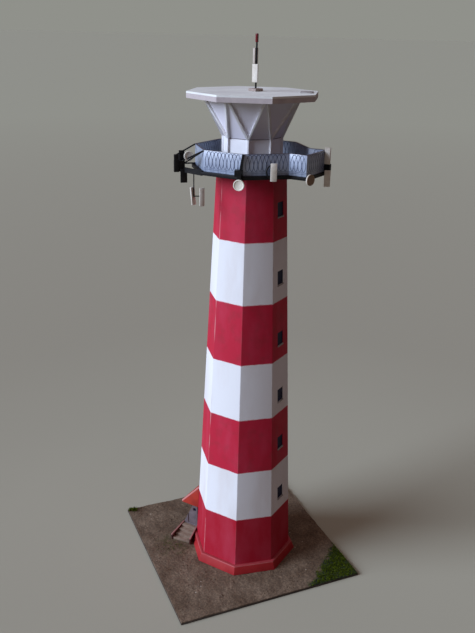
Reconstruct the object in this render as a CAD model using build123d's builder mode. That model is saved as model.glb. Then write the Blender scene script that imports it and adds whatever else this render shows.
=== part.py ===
"""Card model of an eight-sided banded lighthouse on a square base board.

Lengths are millimetres and angles degrees. +Z is up. The origin is on the
tower's axis, on the underside of the base board. +X points out of the windowed
side with the gallery's bay, and the steps run down from the porch towards -Y.
"""

import os
from math import atan2, cos, degrees, hypot, pi, sin

from build123d import *

# Base board
BOARD_SIDE = 100.0
BOARD_THICKNESS = 1.5
BOARD_CENTRE = (-3.6, -0.4)
BOARD_TURN = -35.9

# Card walls
SIDES = 8
HALF_SIDE_ANGLE = 180 / SIDES
CARD = 1.0
THIN_CARD = 0.8

# Shaft: corner radii, the levels where one band ends and the next begins
SHAFT_FOOT_RADIUS = 26.3
SHAFT_HEAD_RADIUS = 16.7
BAND_LEVELS = (BOARD_THICKNESS, 33.0, 60.6, 90.2, 119.8, 150.2, 180.4, 211.5)
SHAFT_FOOT = BAND_LEVELS[0]
SHAFT_HEAD = BAND_LEVELS[-1]
SHAFT_TAPER = (SHAFT_FOOT_RADIUS - SHAFT_HEAD_RADIUS) / (SHAFT_HEAD - SHAFT_FOOT)

# Windows, one in each band but the lowest
WINDOW_WIDTH = 5.6
WINDOW_HEIGHT = 7.4
WINDOW_SILLS = (39.0, 68.9, 95.9, 126.5, 157.8, 190.9)
PANE_THICKNESS = 0.5
PANE_MARGIN = 0.8
SILL_THICKNESS = 0.6
SILL_OVERHANG = 0.3

# Plinth round the shaft's foot
PLINTH_HEIGHT = 4.4
PLINTH_FOOT_RADIUS = 29.4
PLINTH_TOP_RADIUS = 27.6

# Porch on the -X side
PORCH_HALF_WIDTH = 9.8
PORCH_REACH = 33.3
PORCH_EAVE_REACH = 34.5
PORCH_EAVE_LEVEL = 22.1
PORCH_RIDGE_LEVEL = 34.9
PORCH_WALL_SETBACK = 0.6
CHEEK_FOOT_LEVEL = 8.0
CHEEK_SETBACK = 5.7
DOOR_SILL_LEVEL = 8.0
DOOR_WIDTH = 5.4
DOOR_HEIGHT = 12.4
DOOR_THICKNESS = 0.6
DOOR_CENTRE_X = -28.0
DOOR_PANE_SIZE = 1.8
DOOR_PANE_CENTRE = (-26.6, 17.6)

# Steps
STEP_COUNT = 4
STEP_RISE = 1.4
STEP_RUN = 2.5
STEP_CARD = 0.6
LANDING_DROP = 0.9
LANDING_DEPTH = 1.85
STEPS_CENTRE_X = -29.15
STEPS_TURN = 10.0
STRINGER_THICKNESS = 0.8
STRINGER_HEAD_LEVEL = 7.9
STRINGER_FOOT_LEVEL = 5.0
# X of the inner face at the wall, turn toward -X, length
NEAR_STRINGER = (-25.1, -9.0, 9.4)
FAR_STRINGER = (-33.2, 5.0, 10.9)

# Gallery
FLOOR_THICKNESS = 1.5
FLOOR_RADIUS = 28.6
GALLERY_LEVEL = SHAFT_HEAD + FLOOR_THICKNESS
PARAPET_RADIUS = 27.0
PARAPET_HEIGHT = 9.5
PARAPET_TOP = GALLERY_LEVEL + PARAPET_HEIGHT
BAY_REACH = 33.6
BAY_FLOOR_MARGIN = 0.6

# Lantern: drum, flared cone and roof
DRUM_RADIUS = 13.4
DRUM_TOP = 226.8
CONE_TOP_RADIUS = 23.3
RIB_WIDTH = 1.0
RIB_PROUD = 0.9
ROOF_RADIUS = 30.9
ROOF_UNDERSIDE = 246.0
ROOF_THICKNESS = 0.8
ROOF_TOP = ROOF_UNDERSIDE + ROOF_THICKNESS
RIM_DEPTH = 2.1
HATCH_SIZE = (5.6, 8.0, 0.4)
HATCH_RADIUS = 24.0

# Roof mast
MAST_BASE_SIDE = 4.8
MAST_BASE_HEIGHT = 1.2
MAST_TURN = -15.0
MAST_PLACE = (0.8, 0.45)
MAST_RADIUS = 0.4
MAST_TOP = 267.6
LAMP_RADIUS = 0.7
LAMP_HEIGHT = 3.6
LAMP_ROUNDING = 0.3
AERIAL_WIDTH = 2.8
AERIAL_THICKNESS = 0.8
LOWER_AERIAL = (250.6, 258.4)
UPPER_AERIAL = (258.5, 265.2)
UPPER_AERIAL_SIZE = (1.1, 2.9)
UPPER_AERIAL_SHIFT = 0.75

# Post and round dish at the gallery's corner between -Y and the +X -Y side
POST_ANGLE = -67.5
POST_WIDTH = 1.0
POST_FOOT_OFFSET = -1.6
POST_BOX = (3.0, 3.4, 2.8)
POST_BOX_OFFSET = -1.9
HANGER = (0.8, 1.6, 3.2)
CORNER_DISH_RADIUS = 2.45
CORNER_DISH_THICKNESS = 1.0
CORNER_DISH_LEVEL = 209.6
CORNER_DISH_OFFSET = -1.4
DISH_CHAMFER = 0.2

# Flat aerial on the parapet's side between -Y and +X
SIDE_AERIAL_CENTRE = (28.6, 2.4, 215.0)
SIDE_AERIAL_SIZE = (0.8, 2.8, 7.8)
SIDE_AERIAL_TURN = -12.0
SIDE_ARM_WIDTH = 1.0
SIDE_ARM_HEIGHT = 3.0
SIDE_ARM_RISE = 0.5
SIDE_PLATE_SIZE = (1.4, 1.6, 6.6)
SIDE_WIRE_RADIUS = 0.35
SIDE_WIRE_BULGE = 2.9
SIDE_WIRE_HALF_HEIGHT = 3.1

# Dish and aerial pole on the bay
BAY_DISH_RADIUS = 2.45
BAY_DISH_THICKNESS = 0.9
BAY_DISH_BACK = (34.5, -8.8, 211.8)
BAY_DISH_TURN = -16.0
BAY_POLE_PLACE = (34.8, 8.2)
BAY_POLE_LEVELS = (208.0, 222.0)
BAY_POLE_RADIUS = 0.5
BAY_CLAMP_SIZE = (2.8, 1.6, 3.4)
BAY_CLAMP_LEVEL = 214.9
BAY_AERIAL_SIZE = (2.8, 0.8, 7.4)
BAY_UPPER_AERIAL_CENTRE = (35.1, 7.3, 220.3)
BAY_LOWER_AERIAL_CENTRE = (35.9, 6.5, 210.3)
BAY_LOWER_AERIAL_TURN = 30.0

# Aerial frame outside the -X -Y side: (distance out, distance along, level)
FRAME_BOX_CENTRE = (34.2, 0.0, 213.9)
FRAME_BOX_SIZE = (4.8, 2.4, 4.8)
FRAME_WIRE_RADIUS = 0.35
FRAME_BEAM_SIZE = (2.2, 1.2)
FRAME_AERIALS = (
    ((35.8, 1.6, 215.4), (2.2, 0.8, 8.0)),
    ((32.8, -1.6, 217.0), (2.6, 0.8, 7.4)),
    ((32.4, 1.6, 209.7), (3.1, 0.8, 6.4)),
)
FRAME_WIRE_ENDS = (
    (35.8, 0.8, 219.0),
    (32.8, 0.0, 216.1),
    (32.3, 0.0, 214.9),
    (32.3, -0.8, 214.9),
)
FRAME_BEAM_END = (32.3, 0.6, 212.2)
FRAME_DISH_CENTRE = (30.2, 2.2, 218.6)
FRAME_DISH_RADIUS = 2.2
FRAME_DISH_THICKNESS = 1.0

# Pair of aerials hanging under the frame's beam
HANGING_ROD_PLACE = (-15.8, -24.7)
HANGING_ROD_LEVELS = (200.6, 211.2)
HANGING_ROD_RADIUS = 0.25
HANGING_AERIAL_SIZE = (0.8, 2.2, 8.4)
HANGING_AERIAL_TURNS = (-14.5, -45.0)
HANGING_AERIAL_LEAN = 6.6
HANGING_LEVEL = 201.1
HANGING_SPAN = (3.2, 1.87)
HANGING_DROP = 0.4


def side_distance(corner_radius):
    """Distance from the axis to the flat sides of an octagon."""
    return corner_radius * cos(pi / SIDES)


def inner_radius(corner_radius, wall):
    """Corner radius of an octagon set in from another by a wall's thickness."""
    return corner_radius - wall / cos(pi / SIDES)


def shaft_radius(level):
    """Corner radius of the tapering shaft at a level."""
    return SHAFT_FOOT_RADIUS - SHAFT_TAPER * (level - SHAFT_FOOT)


def around(radius, angle, level):
    """Point at a radius from the axis, in a direction and at a level."""
    turn = angle * pi / 180
    return Vector(radius * cos(turn), radius * sin(turn), level)


def write_step(builder, name):
    """Label a finished piece and write it to its own file."""
    builder.part.label = name
    export_step(builder.part, f"parts/{name}.step")


def octagon_tube(low, high, low_radius, high_radius, wall):
    """Hollow octagon with flat sides on the axes and an even wall."""
    with BuildPart() as tube:
        with BuildSketch(Plane.XY.offset(low)):
            RegularPolygon(low_radius, SIDES, rotation=HALF_SIDE_ANGLE)
        with BuildSketch(Plane.XY.offset(high)):
            RegularPolygon(high_radius, SIDES, rotation=HALF_SIDE_ANGLE)
        loft()
        with BuildSketch(Plane.XY.offset(low)):
            RegularPolygon(inner_radius(low_radius, wall), SIDES, rotation=HALF_SIDE_ANGLE)
        with BuildSketch(Plane.XY.offset(high)):
            RegularPolygon(inner_radius(high_radius, wall), SIDES, rotation=HALF_SIDE_ANGLE)
        loft(mode=Mode.SUBTRACT)
    return tube


def outward_plane(first, second, third):
    """Plane through three points, with its normal pointing away from the axis."""
    normal = (second - first).cross(third - first).normalized()
    middle = (first + second + third) / 3
    if normal.X * middle.X + normal.Y * middle.Y < 0:
        normal = normal * -1
    return Plane(origin=first, z_dir=normal)


def cone_planes():
    """The sixteen triangular faces between the drum and the turned roof octagon."""
    planes = []
    for side in range(SIDES):
        middle = side * 360 / SIDES
        next_middle = (side + 1) * 360 / SIDES
        corner_angles = (middle - HALF_SIDE_ANGLE, middle + HALF_SIDE_ANGLE)
        lower = [around(DRUM_RADIUS, angle, DRUM_TOP) for angle in corner_angles]
        upper = [around(CONE_TOP_RADIUS, angle, ROOF_UNDERSIDE) for angle in (middle, next_middle)]
        planes.append(outward_plane(lower[0], lower[1], upper[0]))
        planes.append(outward_plane(upper[0], upper[1], lower[1]))
    return planes


def cone_block(inset):
    """Solid between the drum and the roof, with its faces set in by a distance."""
    height = ROOF_UNDERSIDE - DRUM_TOP
    with BuildPart() as block:
        with BuildSketch(Plane.XY.offset(DRUM_TOP)):
            Circle(2 * CONE_TOP_RADIUS)
        extrude(amount=height)
        for plane in cone_planes():
            split(bisect_by=plane.offset(-inset), keep=Keep.BOTTOM)
    return block.part


os.makedirs("parts", exist_ok=True)

# ---------------------------------------------------------------- base board
with BuildPart() as base_board:
    with BuildSketch(Plane.XY):
        with Locations(BOARD_CENTRE):
            Rectangle(BOARD_SIDE, BOARD_SIDE, rotation=BOARD_TURN)
    extrude(amount=BOARD_THICKNESS)
write_step(base_board, "base_board")

# --------------------------------------------------------------------- shaft
for number, (low, high) in enumerate(zip(BAND_LEVELS, BAND_LEVELS[1:])):
    band = octagon_tube(low, high, shaft_radius(low), shaft_radius(high), CARD)
    with band:
        for sill in WINDOW_SILLS:
            if low < sill < high:
                reach = side_distance(shaft_radius(sill))
                middle = sill + WINDOW_HEIGHT / 2
                with Locations((reach, 0, middle), (-reach, 0, middle)):
                    Box(4 * CARD, WINDOW_WIDTH, WINDOW_HEIGHT, mode=Mode.SUBTRACT)
    write_step(band, f"shaft_band_{number + 1}")

with BuildPart() as window_panes:
    for sill in WINDOW_SILLS:
        middle = sill + WINDOW_HEIGHT / 2
        reach = side_distance(shaft_radius(middle)) - CARD
        slope = SHAFT_TAPER * cos(pi / SIDES)
        for side in (1, -1):
            pane_plane = Plane(origin=(side * reach, 0, middle), x_dir=(0, 1, 0), z_dir=(side, 0, slope))
            with BuildSketch(pane_plane):
                Rectangle(WINDOW_WIDTH + 2 * PANE_MARGIN, WINDOW_HEIGHT + 2 * PANE_MARGIN)
            extrude(amount=-PANE_THICKNESS)
write_step(window_panes, "window_panes")

with BuildPart() as window_sills:
    for sill in WINDOW_SILLS:
        reach = side_distance(shaft_radius(sill))
        length = CARD + SILL_OVERHANG
        for side in (1, -1):
            with Locations((side * (reach - CARD + length / 2), 0, sill + SILL_THICKNESS / 2)):
                Box(length, WINDOW_WIDTH, SILL_THICKNESS)
write_step(window_sills, "window_sills")

plinth_top = SHAFT_FOOT + PLINTH_HEIGHT
near_face, near_angle, near_length = NEAR_STRINGER
wall_edge = PORCH_HALF_WIDTH - PORCH_WALL_SETBACK
with BuildPart() as plinth:
    with BuildSketch(Plane.XY.offset(SHAFT_FOOT)):
        RegularPolygon(PLINTH_FOOT_RADIUS, SIDES, rotation=HALF_SIDE_ANGLE)
    with BuildSketch(Plane.XY.offset(plinth_top)):
        RegularPolygon(PLINTH_TOP_RADIUS, SIDES, rotation=HALF_SIDE_ANGLE)
    loft()
    with BuildSketch(Plane.XY.offset(SHAFT_FOOT)):
        RegularPolygon(shaft_radius(SHAFT_FOOT), SIDES, rotation=HALF_SIDE_ANGLE)
    with BuildSketch(Plane.XY.offset(plinth_top)):
        RegularPolygon(shaft_radius(plinth_top), SIDES, rotation=HALF_SIDE_ANGLE)
    loft(mode=Mode.SUBTRACT)
    with Locations((-PORCH_REACH, 0, SHAFT_FOOT)):
        Box(PORCH_REACH, 2 * PORCH_HALF_WIDTH, 4 * PLINTH_HEIGHT, mode=Mode.SUBTRACT)
    with Locations(Location((near_face + STRINGER_THICKNESS, -wall_edge, SHAFT_FOOT), (0, 0, -near_angle))):
        Box(
            PORCH_REACH,
            4 * PORCH_HALF_WIDTH,
            4 * PLINTH_HEIGHT,
            align=(Align.MAX, Align.MAX, Align.CENTER),
            mode=Mode.SUBTRACT,
        )
write_step(plinth, "plinth")

# --------------------------------------------------------------------- porch
with BuildPart() as shaft_block:
    with BuildSketch(Plane.XY.offset(SHAFT_FOOT)):
        RegularPolygon(SHAFT_FOOT_RADIUS, SIDES, rotation=HALF_SIDE_ANGLE)
    with BuildSketch(Plane.XY.offset(SHAFT_HEAD)):
        RegularPolygon(SHAFT_HEAD_RADIUS, SIDES, rotation=HALF_SIDE_ANGLE)
    loft()
shaft_outside = shaft_block.part

shaft_at_foot = -side_distance(shaft_radius(SHAFT_FOOT))
shaft_at_eave = -side_distance(shaft_radius(PORCH_EAVE_LEVEL))
shaft_at_ridge = -side_distance(shaft_radius(PORCH_RIDGE_LEVEL))
roof_run = shaft_at_ridge + PORCH_EAVE_REACH
roof_rise = PORCH_RIDGE_LEVEL - PORCH_EAVE_LEVEL
roof_length = hypot(roof_run, roof_rise)
roof_drop = THIN_CARD * roof_length / roof_run

with BuildPart() as porch_roof:
    with BuildSketch(Plane.XZ.offset(-PORCH_HALF_WIDTH)):
        with BuildLine():
            Polyline(
                (-PORCH_EAVE_REACH, PORCH_EAVE_LEVEL),
                (shaft_at_ridge, PORCH_RIDGE_LEVEL),
                (shaft_at_ridge, PORCH_RIDGE_LEVEL - roof_drop),
                (-PORCH_EAVE_REACH, PORCH_EAVE_LEVEL - roof_drop),
                close=True,
            )
        make_face()
    extrude(amount=2 * PORCH_HALF_WIDTH)
    add(shaft_outside, mode=Mode.SUBTRACT)
write_step(porch_roof, "porch_roof")

with BuildPart() as porch_gables:
    for edge in (PORCH_HALF_WIDTH, -PORCH_HALF_WIDTH + THIN_CARD):
        with BuildSketch(Plane.XZ.offset(-edge)):
            with BuildLine():
                Polyline(
                    (-PORCH_EAVE_REACH, PORCH_EAVE_LEVEL - roof_drop),
                    (shaft_at_ridge, PORCH_RIDGE_LEVEL - roof_drop),
                    (shaft_at_eave, PORCH_EAVE_LEVEL - roof_drop),
                    close=True,
                )
            make_face()
        extrude(amount=THIN_CARD)
    add(shaft_outside, mode=Mode.SUBTRACT)
write_step(porch_gables, "porch_gables")

wall_top = PORCH_EAVE_LEVEL - roof_drop
with BuildPart() as open_side:
    # The porch is open toward -X above its cheeks' sloping edges
    with BuildSketch(Plane.XZ.offset(-PORCH_HALF_WIDTH)):
        with BuildLine():
            Polyline(
                (-PORCH_REACH, CHEEK_FOOT_LEVEL),
                (-PORCH_REACH + CHEEK_SETBACK, wall_top),
                (-2 * PORCH_REACH, wall_top),
                (-2 * PORCH_REACH, CHEEK_FOOT_LEVEL),
                close=True,
            )
        make_face()
    extrude(amount=2 * PORCH_HALF_WIDTH)

with BuildPart() as porch_walls:
    with BuildSketch(Plane.XY.offset(SHAFT_FOOT)):
        with BuildLine():
            Polyline(
                (shaft_at_foot, -wall_edge),
                (-PORCH_REACH, -wall_edge),
                (-PORCH_REACH, wall_edge),
                (shaft_at_foot, wall_edge),
                (shaft_at_foot, wall_edge - CARD),
                (-PORCH_REACH + CARD, wall_edge - CARD),
                (-PORCH_REACH + CARD, -wall_edge + CARD),
                (shaft_at_foot, -wall_edge + CARD),
                close=True,
            )
        make_face()
    extrude(amount=wall_top - SHAFT_FOOT)
    with Locations((DOOR_CENTRE_X, -wall_edge, DOOR_SILL_LEVEL + DOOR_HEIGHT / 2)):
        Box(DOOR_WIDTH, 4 * CARD, DOOR_HEIGHT, mode=Mode.SUBTRACT)
    add(open_side.part, mode=Mode.SUBTRACT)
write_step(porch_walls, "porch_walls")

door_middle_y = -wall_edge + CARD - DOOR_THICKNESS / 2
with BuildPart() as porch_door:
    with Locations((DOOR_CENTRE_X, door_middle_y, DOOR_SILL_LEVEL + DOOR_HEIGHT / 2)):
        Box(DOOR_WIDTH, DOOR_THICKNESS, DOOR_HEIGHT)
    with Locations((DOOR_PANE_CENTRE[0], -wall_edge, DOOR_PANE_CENTRE[1])):
        Box(DOOR_PANE_SIZE, 4 * CARD, DOOR_PANE_SIZE, mode=Mode.SUBTRACT)
    add(open_side.part, mode=Mode.SUBTRACT)
write_step(porch_door, "porch_door")

with BuildPart() as door_pane:
    with Locations((DOOR_PANE_CENTRE[0], -wall_edge + CARD + PANE_THICKNESS / 2, DOOR_PANE_CENTRE[1])):
        Box(DOOR_PANE_SIZE + PANE_MARGIN, PANE_THICKNESS, DOOR_PANE_SIZE + PANE_MARGIN)
write_step(door_pane, "door_pane")

steps_back = -wall_edge
tread_tops = [DOOR_SILL_LEVEL - LANDING_DROP - number * STEP_RISE for number in range(STEP_COUNT)]
tread_fronts = [LANDING_DEPTH + number * STEP_RUN for number in range(STEP_COUNT)]
upper_line = [(-STEP_RUN, tread_tops[0])]
lower_line = [(-STEP_RUN, tread_tops[0] - STEP_CARD)]
for number, (front, top) in enumerate(zip(tread_fronts, tread_tops)):
    last = number == STEP_COUNT - 1
    foot = SHAFT_FOOT if last else tread_tops[number + 1]
    lower_foot = SHAFT_FOOT if last else foot - STEP_CARD
    upper_line += [(front, top), (front, foot)]
    lower_line += [(front - STEP_CARD, top - STEP_CARD), (front - STEP_CARD, lower_foot)]

plan_line = []
with BuildPart() as step_stringers:
    for side, (face, angle, length) in ((-1, NEAR_STRINGER), (1, FAR_STRINGER)):
        forward = around(1, -90 - angle, 0)
        sideways = forward.cross(Vector(0, 0, 1))
        back = Vector(face, steps_back - STRINGER_THICKNESS * abs(sideways.Y), 0)
        with BuildSketch(Plane(origin=back, x_dir=forward, z_dir=sideways)):
            with BuildLine():
                Polyline(
                    (0, SHAFT_FOOT),
                    (length, SHAFT_FOOT),
                    (length, STRINGER_FOOT_LEVEL),
                    (0, STRINGER_HEAD_LEVEL),
                    close=True,
                )
            make_face()
        extrude(amount=side * STRINGER_THICKNESS)
        front = back + forward * length
        plan_line += [(face, steps_back), (back.X, back.Y), (front.X, front.Y)][::side]
    add(shaft_outside, mode=Mode.SUBTRACT)

write_step(step_stringers, "step_stringers")

with BuildPart() as step_treads:
    forward = around(1, STEPS_TURN - 90, 0)
    sideways = forward.cross(Vector(0, 0, 1))
    with BuildSketch(Plane(origin=(STEPS_CENTRE_X, steps_back, 0), x_dir=forward, z_dir=sideways)):
        with BuildLine():
            Polyline(*upper_line, *reversed(lower_line), close=True)
        make_face()
    extrude(amount=PORCH_HALF_WIDTH, both=True)
    with BuildSketch(Plane.XY):
        with BuildLine():
            Polyline(*plan_line, close=True)
        make_face()
    extrude(amount=DOOR_SILL_LEVEL, mode=Mode.INTERSECT)
write_step(step_treads, "step_treads")

# ------------------------------------------------------------------- gallery
bay_half_width = PARAPET_RADIUS * sin(pi / SIDES)
parapet_reach = side_distance(PARAPET_RADIUS)
bay_centre = (parapet_reach + BAY_REACH) / 2
bay_depth = BAY_REACH - parapet_reach

with BuildPart() as gallery_floor:
    with BuildSketch(Plane.XY.offset(SHAFT_HEAD)):
        RegularPolygon(FLOOR_RADIUS, SIDES, rotation=HALF_SIDE_ANGLE)
        with Locations((bay_centre, 0)):
            Rectangle(bay_depth + 2 * BAY_FLOOR_MARGIN, 2 * (bay_half_width + BAY_FLOOR_MARGIN))
    extrude(amount=FLOOR_THICKNESS)
write_step(gallery_floor, "gallery_floor")

parapet = octagon_tube(GALLERY_LEVEL, PARAPET_TOP, PARAPET_RADIUS, PARAPET_RADIUS, THIN_CARD)
bay_mouth = 2 * inner_radius(PARAPET_RADIUS, THIN_CARD) * sin(pi / SIDES)
with parapet:
    with Locations((parapet_reach, 0, GALLERY_LEVEL + PARAPET_HEIGHT / 2)):
        Box(4 * THIN_CARD, bay_mouth, PARAPET_HEIGHT, mode=Mode.SUBTRACT)
write_step(parapet, "parapet")

with BuildPart() as bay_walls:
    with BuildSketch(Plane.XY.offset(GALLERY_LEVEL)):
        with Locations((bay_centre, 0)):
            Rectangle(bay_depth, 2 * bay_half_width)
        with Locations((bay_centre - THIN_CARD, 0)):
            Rectangle(bay_depth, 2 * (bay_half_width - THIN_CARD), mode=Mode.SUBTRACT)
    extrude(amount=PARAPET_HEIGHT)
write_step(bay_walls, "bay_walls")

# ------------------------------------------------------------------- lantern
lantern_drum = octagon_tube(GALLERY_LEVEL, DRUM_TOP, DRUM_RADIUS, DRUM_RADIUS, CARD)
write_step(lantern_drum, "lantern_drum")

with BuildPart() as drum_ribs:
    rib_middle = (GALLERY_LEVEL + DRUM_TOP) / 2
    with Locations((0, 0, rib_middle)):
        with PolarLocations(DRUM_RADIUS, SIDES, start_angle=HALF_SIDE_ANGLE):
            Box(2 * RIB_PROUD, RIB_WIDTH, DRUM_TOP - GALLERY_LEVEL)
    with BuildSketch(Plane.XY.offset(GALLERY_LEVEL)):
        RegularPolygon(DRUM_RADIUS, SIDES, rotation=HALF_SIDE_ANGLE)
    extrude(amount=DRUM_TOP - GALLERY_LEVEL, mode=Mode.SUBTRACT)
write_step(drum_ribs, "drum_ribs")

cone_outside = cone_block(0)
cone_inside = cone_block(CARD)
with BuildPart() as lantern_cone:
    add(cone_outside)
    add(cone_inside, mode=Mode.SUBTRACT)
write_step(lantern_cone, "lantern_cone")

with BuildPart() as cone_ribs:
    for corner in range(SIDES):
        corner_angle = HALF_SIDE_ANGLE + corner * 360 / SIDES
        foot = around(DRUM_RADIUS, corner_angle, DRUM_TOP)
        for turn in (-HALF_SIDE_ANGLE, HALF_SIDE_ANGLE):
            head = around(CONE_TOP_RADIUS, corner_angle + turn, ROOF_UNDERSIDE)
            outward = around(1, corner_angle + turn / 2, 0)
            rib_plane = Plane(origin=foot, x_dir=outward, z_dir=head - foot)
            with BuildSketch(rib_plane):
                Rectangle(2 * RIB_PROUD, RIB_WIDTH)
            extrude(amount=(head - foot).length)
    split(bisect_by=Plane.XY.offset(ROOF_UNDERSIDE), keep=Keep.BOTTOM)
    split(bisect_by=Plane.XY.offset(DRUM_TOP), keep=Keep.TOP)
    add(cone_outside, mode=Mode.SUBTRACT)
write_step(cone_ribs, "cone_ribs")

with BuildPart() as roof_plate:
    with BuildSketch(Plane.XY.offset(ROOF_UNDERSIDE)):
        RegularPolygon(ROOF_RADIUS, SIDES)
    extrude(amount=ROOF_THICKNESS)
write_step(roof_plate, "roof_plate")

with BuildPart() as roof_rim:
    with BuildSketch(Plane.XY.offset(ROOF_UNDERSIDE - RIM_DEPTH)):
        RegularPolygon(ROOF_RADIUS, SIDES)
        RegularPolygon(inner_radius(ROOF_RADIUS, THIN_CARD), SIDES, mode=Mode.SUBTRACT)
    extrude(amount=RIM_DEPTH)
write_step(roof_rim, "roof_rim")

with BuildPart() as roof_hatch:
    with Locations((0, 0, ROOF_TOP + HATCH_SIZE[2] / 2)):
        with PolarLocations(HATCH_RADIUS, 1, start_angle=HALF_SIDE_ANGLE):
            Box(*HATCH_SIZE)
write_step(roof_hatch, "roof_hatch")

# ---------------------------------------------------------------------- mast
mast_x, mast_y = MAST_PLACE
mast_base_top = ROOF_TOP + MAST_BASE_HEIGHT
with BuildPart() as mast_base:
    with BuildSketch(Plane.XY.offset(ROOF_TOP)):
        with Locations(MAST_PLACE):
            Rectangle(MAST_BASE_SIDE, MAST_BASE_SIDE, rotation=MAST_TURN)
    extrude(amount=MAST_BASE_HEIGHT)
write_step(mast_base, "mast_base")

with BuildPart() as mast_rod:
    with BuildSketch(Plane.XY.offset(mast_base_top)):
        with Locations(MAST_PLACE):
            Circle(MAST_RADIUS)
    extrude(amount=MAST_TOP - mast_base_top)
write_step(mast_rod, "mast_rod")

with BuildPart() as mast_lower_aerial:
    with BuildSketch(Plane.XY.offset(LOWER_AERIAL[0])):
        with Locations((mast_x, mast_y - MAST_RADIUS - AERIAL_THICKNESS / 2)):
            Rectangle(AERIAL_WIDTH, AERIAL_THICKNESS)
    extrude(amount=LOWER_AERIAL[1] - LOWER_AERIAL[0])
write_step(mast_lower_aerial, "mast_lower_aerial")

with BuildPart() as mast_upper_aerial:
    with BuildSketch(Plane.XY.offset(UPPER_AERIAL[0])):
        with Locations((mast_x - MAST_RADIUS - UPPER_AERIAL_SIZE[0] / 2, mast_y + UPPER_AERIAL_SHIFT)):
            Rectangle(*UPPER_AERIAL_SIZE)
    extrude(amount=UPPER_AERIAL[1] - UPPER_AERIAL[0])
write_step(mast_upper_aerial, "mast_upper_aerial")

with BuildPart() as mast_lamp:
    with BuildSketch(Plane.XY.offset(MAST_TOP)):
        with Locations(MAST_PLACE):
            Circle(LAMP_RADIUS)
    extrude(amount=LAMP_HEIGHT)
    fillet(mast_lamp.edges().group_by(Axis.Z)[-1], LAMP_ROUNDING)
write_step(mast_lamp, "mast_lamp")

# --------------------------------------------- post and dish at the corner
gallery_middle = GALLERY_LEVEL + PARAPET_HEIGHT / 2
post_plane = Plane(origin=(0, 0, 0), x_dir=around(1, POST_ANGLE, 0), z_dir=(0, 0, 1))
hanger_reach = FLOOR_RADIUS + HANGER[0]
post_lean = degrees(atan2(POST_FOOT_OFFSET, PARAPET_HEIGHT))
with BuildPart(post_plane) as corner_post:
    with Locations(Location((PARAPET_RADIUS, POST_FOOT_OFFSET / 2, gallery_middle), (post_lean, 0, 0))):
        Box(2 * POST_WIDTH, POST_WIDTH, PARAPET_HEIGHT)
    with Locations((PARAPET_RADIUS - POST_WIDTH, POST_BOX_OFFSET, GALLERY_LEVEL)):
        Box(*POST_BOX, align=(Align.MIN, Align.CENTER, Align.MIN))
    with Locations((hanger_reach, CORNER_DISH_OFFSET, GALLERY_LEVEL + POST_BOX[2] / 2)):
        Box(*HANGER, align=(Align.MAX, Align.CENTER, Align.MAX))
    with BuildSketch(Plane.XY.offset(GALLERY_LEVEL)):
        RegularPolygon(PARAPET_RADIUS, SIDES, rotation=HALF_SIDE_ANGLE)
    extrude(amount=PARAPET_HEIGHT, mode=Mode.SUBTRACT)
    with BuildSketch(Plane.XY.offset(SHAFT_HEAD)):
        RegularPolygon(FLOOR_RADIUS, SIDES, rotation=HALF_SIDE_ANGLE)
    extrude(amount=FLOOR_THICKNESS, mode=Mode.SUBTRACT)
write_step(corner_post, "corner_post")

dish_centre = post_plane.from_local_coords((hanger_reach, CORNER_DISH_OFFSET, CORNER_DISH_LEVEL))
dish_plane = Plane(origin=dish_centre, z_dir=around(1, POST_ANGLE, 0))
with BuildPart() as corner_dish:
    with BuildSketch(dish_plane):
        Circle(CORNER_DISH_RADIUS)
    extrude(amount=CORNER_DISH_THICKNESS)
    chamfer(corner_dish.edges().filter_by(GeomType.CIRCLE), DISH_CHAMFER)
write_step(corner_dish, "corner_dish")

# ------------------------------------------------- aerial on the angled side
side_plane = Plane(origin=(0, 0, 0), x_dir=around(1, -45, 0), z_dir=(0, 0, 1))
side_out, side_along, side_level = SIDE_AERIAL_CENTRE
with BuildPart(side_plane) as side_aerial:
    with Locations(Location(SIDE_AERIAL_CENTRE, (0, 0, SIDE_AERIAL_TURN))):
        Box(*SIDE_AERIAL_SIZE)
write_step(side_aerial, "side_aerial")

plate_back = side_out - 2 * SIDE_AERIAL_SIZE[0]
arm_length = plate_back - parapet_reach
wire_out = plate_back + SIDE_WIRE_RADIUS
wire_foot = (wire_out, side_along, side_level - SIDE_WIRE_HALF_HEIGHT)
wire_middle = (wire_out, side_along - SIDE_WIRE_BULGE, side_level)
wire_head = (wire_out, side_along, side_level + SIDE_WIRE_HALF_HEIGHT)
with BuildPart() as side_bracket:
    with Locations(side_plane.location * Location((parapet_reach, side_along, side_level + SIDE_ARM_RISE))):
        Box(arm_length, SIDE_ARM_WIDTH, SIDE_ARM_HEIGHT, align=(Align.MIN, Align.CENTER, Align.CENTER))
    with Locations(side_plane.location * Location((plate_back, side_along, side_level))):
        Box(*SIDE_PLATE_SIZE, align=(Align.MIN, Align.CENTER, Align.CENTER))
    with BuildLine(side_plane) as wire_path:
        ThreePointArc(wire_foot, wire_middle, wire_head)
    with BuildSketch(Plane(origin=wire_path.line @ 0, z_dir=wire_path.line % 0)):
        Circle(SIDE_WIRE_RADIUS)
    sweep(path=wire_path.line)
    add(side_aerial.part, mode=Mode.SUBTRACT)
write_step(side_bracket, "side_bracket")

# ------------------------------------------------------ dish and pole on bay
with BuildPart() as bay_dish:
    with BuildSketch(Plane(origin=BAY_DISH_BACK, z_dir=around(1, BAY_DISH_TURN, 0))):
        Circle(BAY_DISH_RADIUS)
    extrude(amount=BAY_DISH_THICKNESS)
    chamfer(bay_dish.edges().filter_by(GeomType.CIRCLE), DISH_CHAMFER)
    add(gallery_floor.part, mode=Mode.SUBTRACT)
write_step(bay_dish, "bay_dish")

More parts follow.
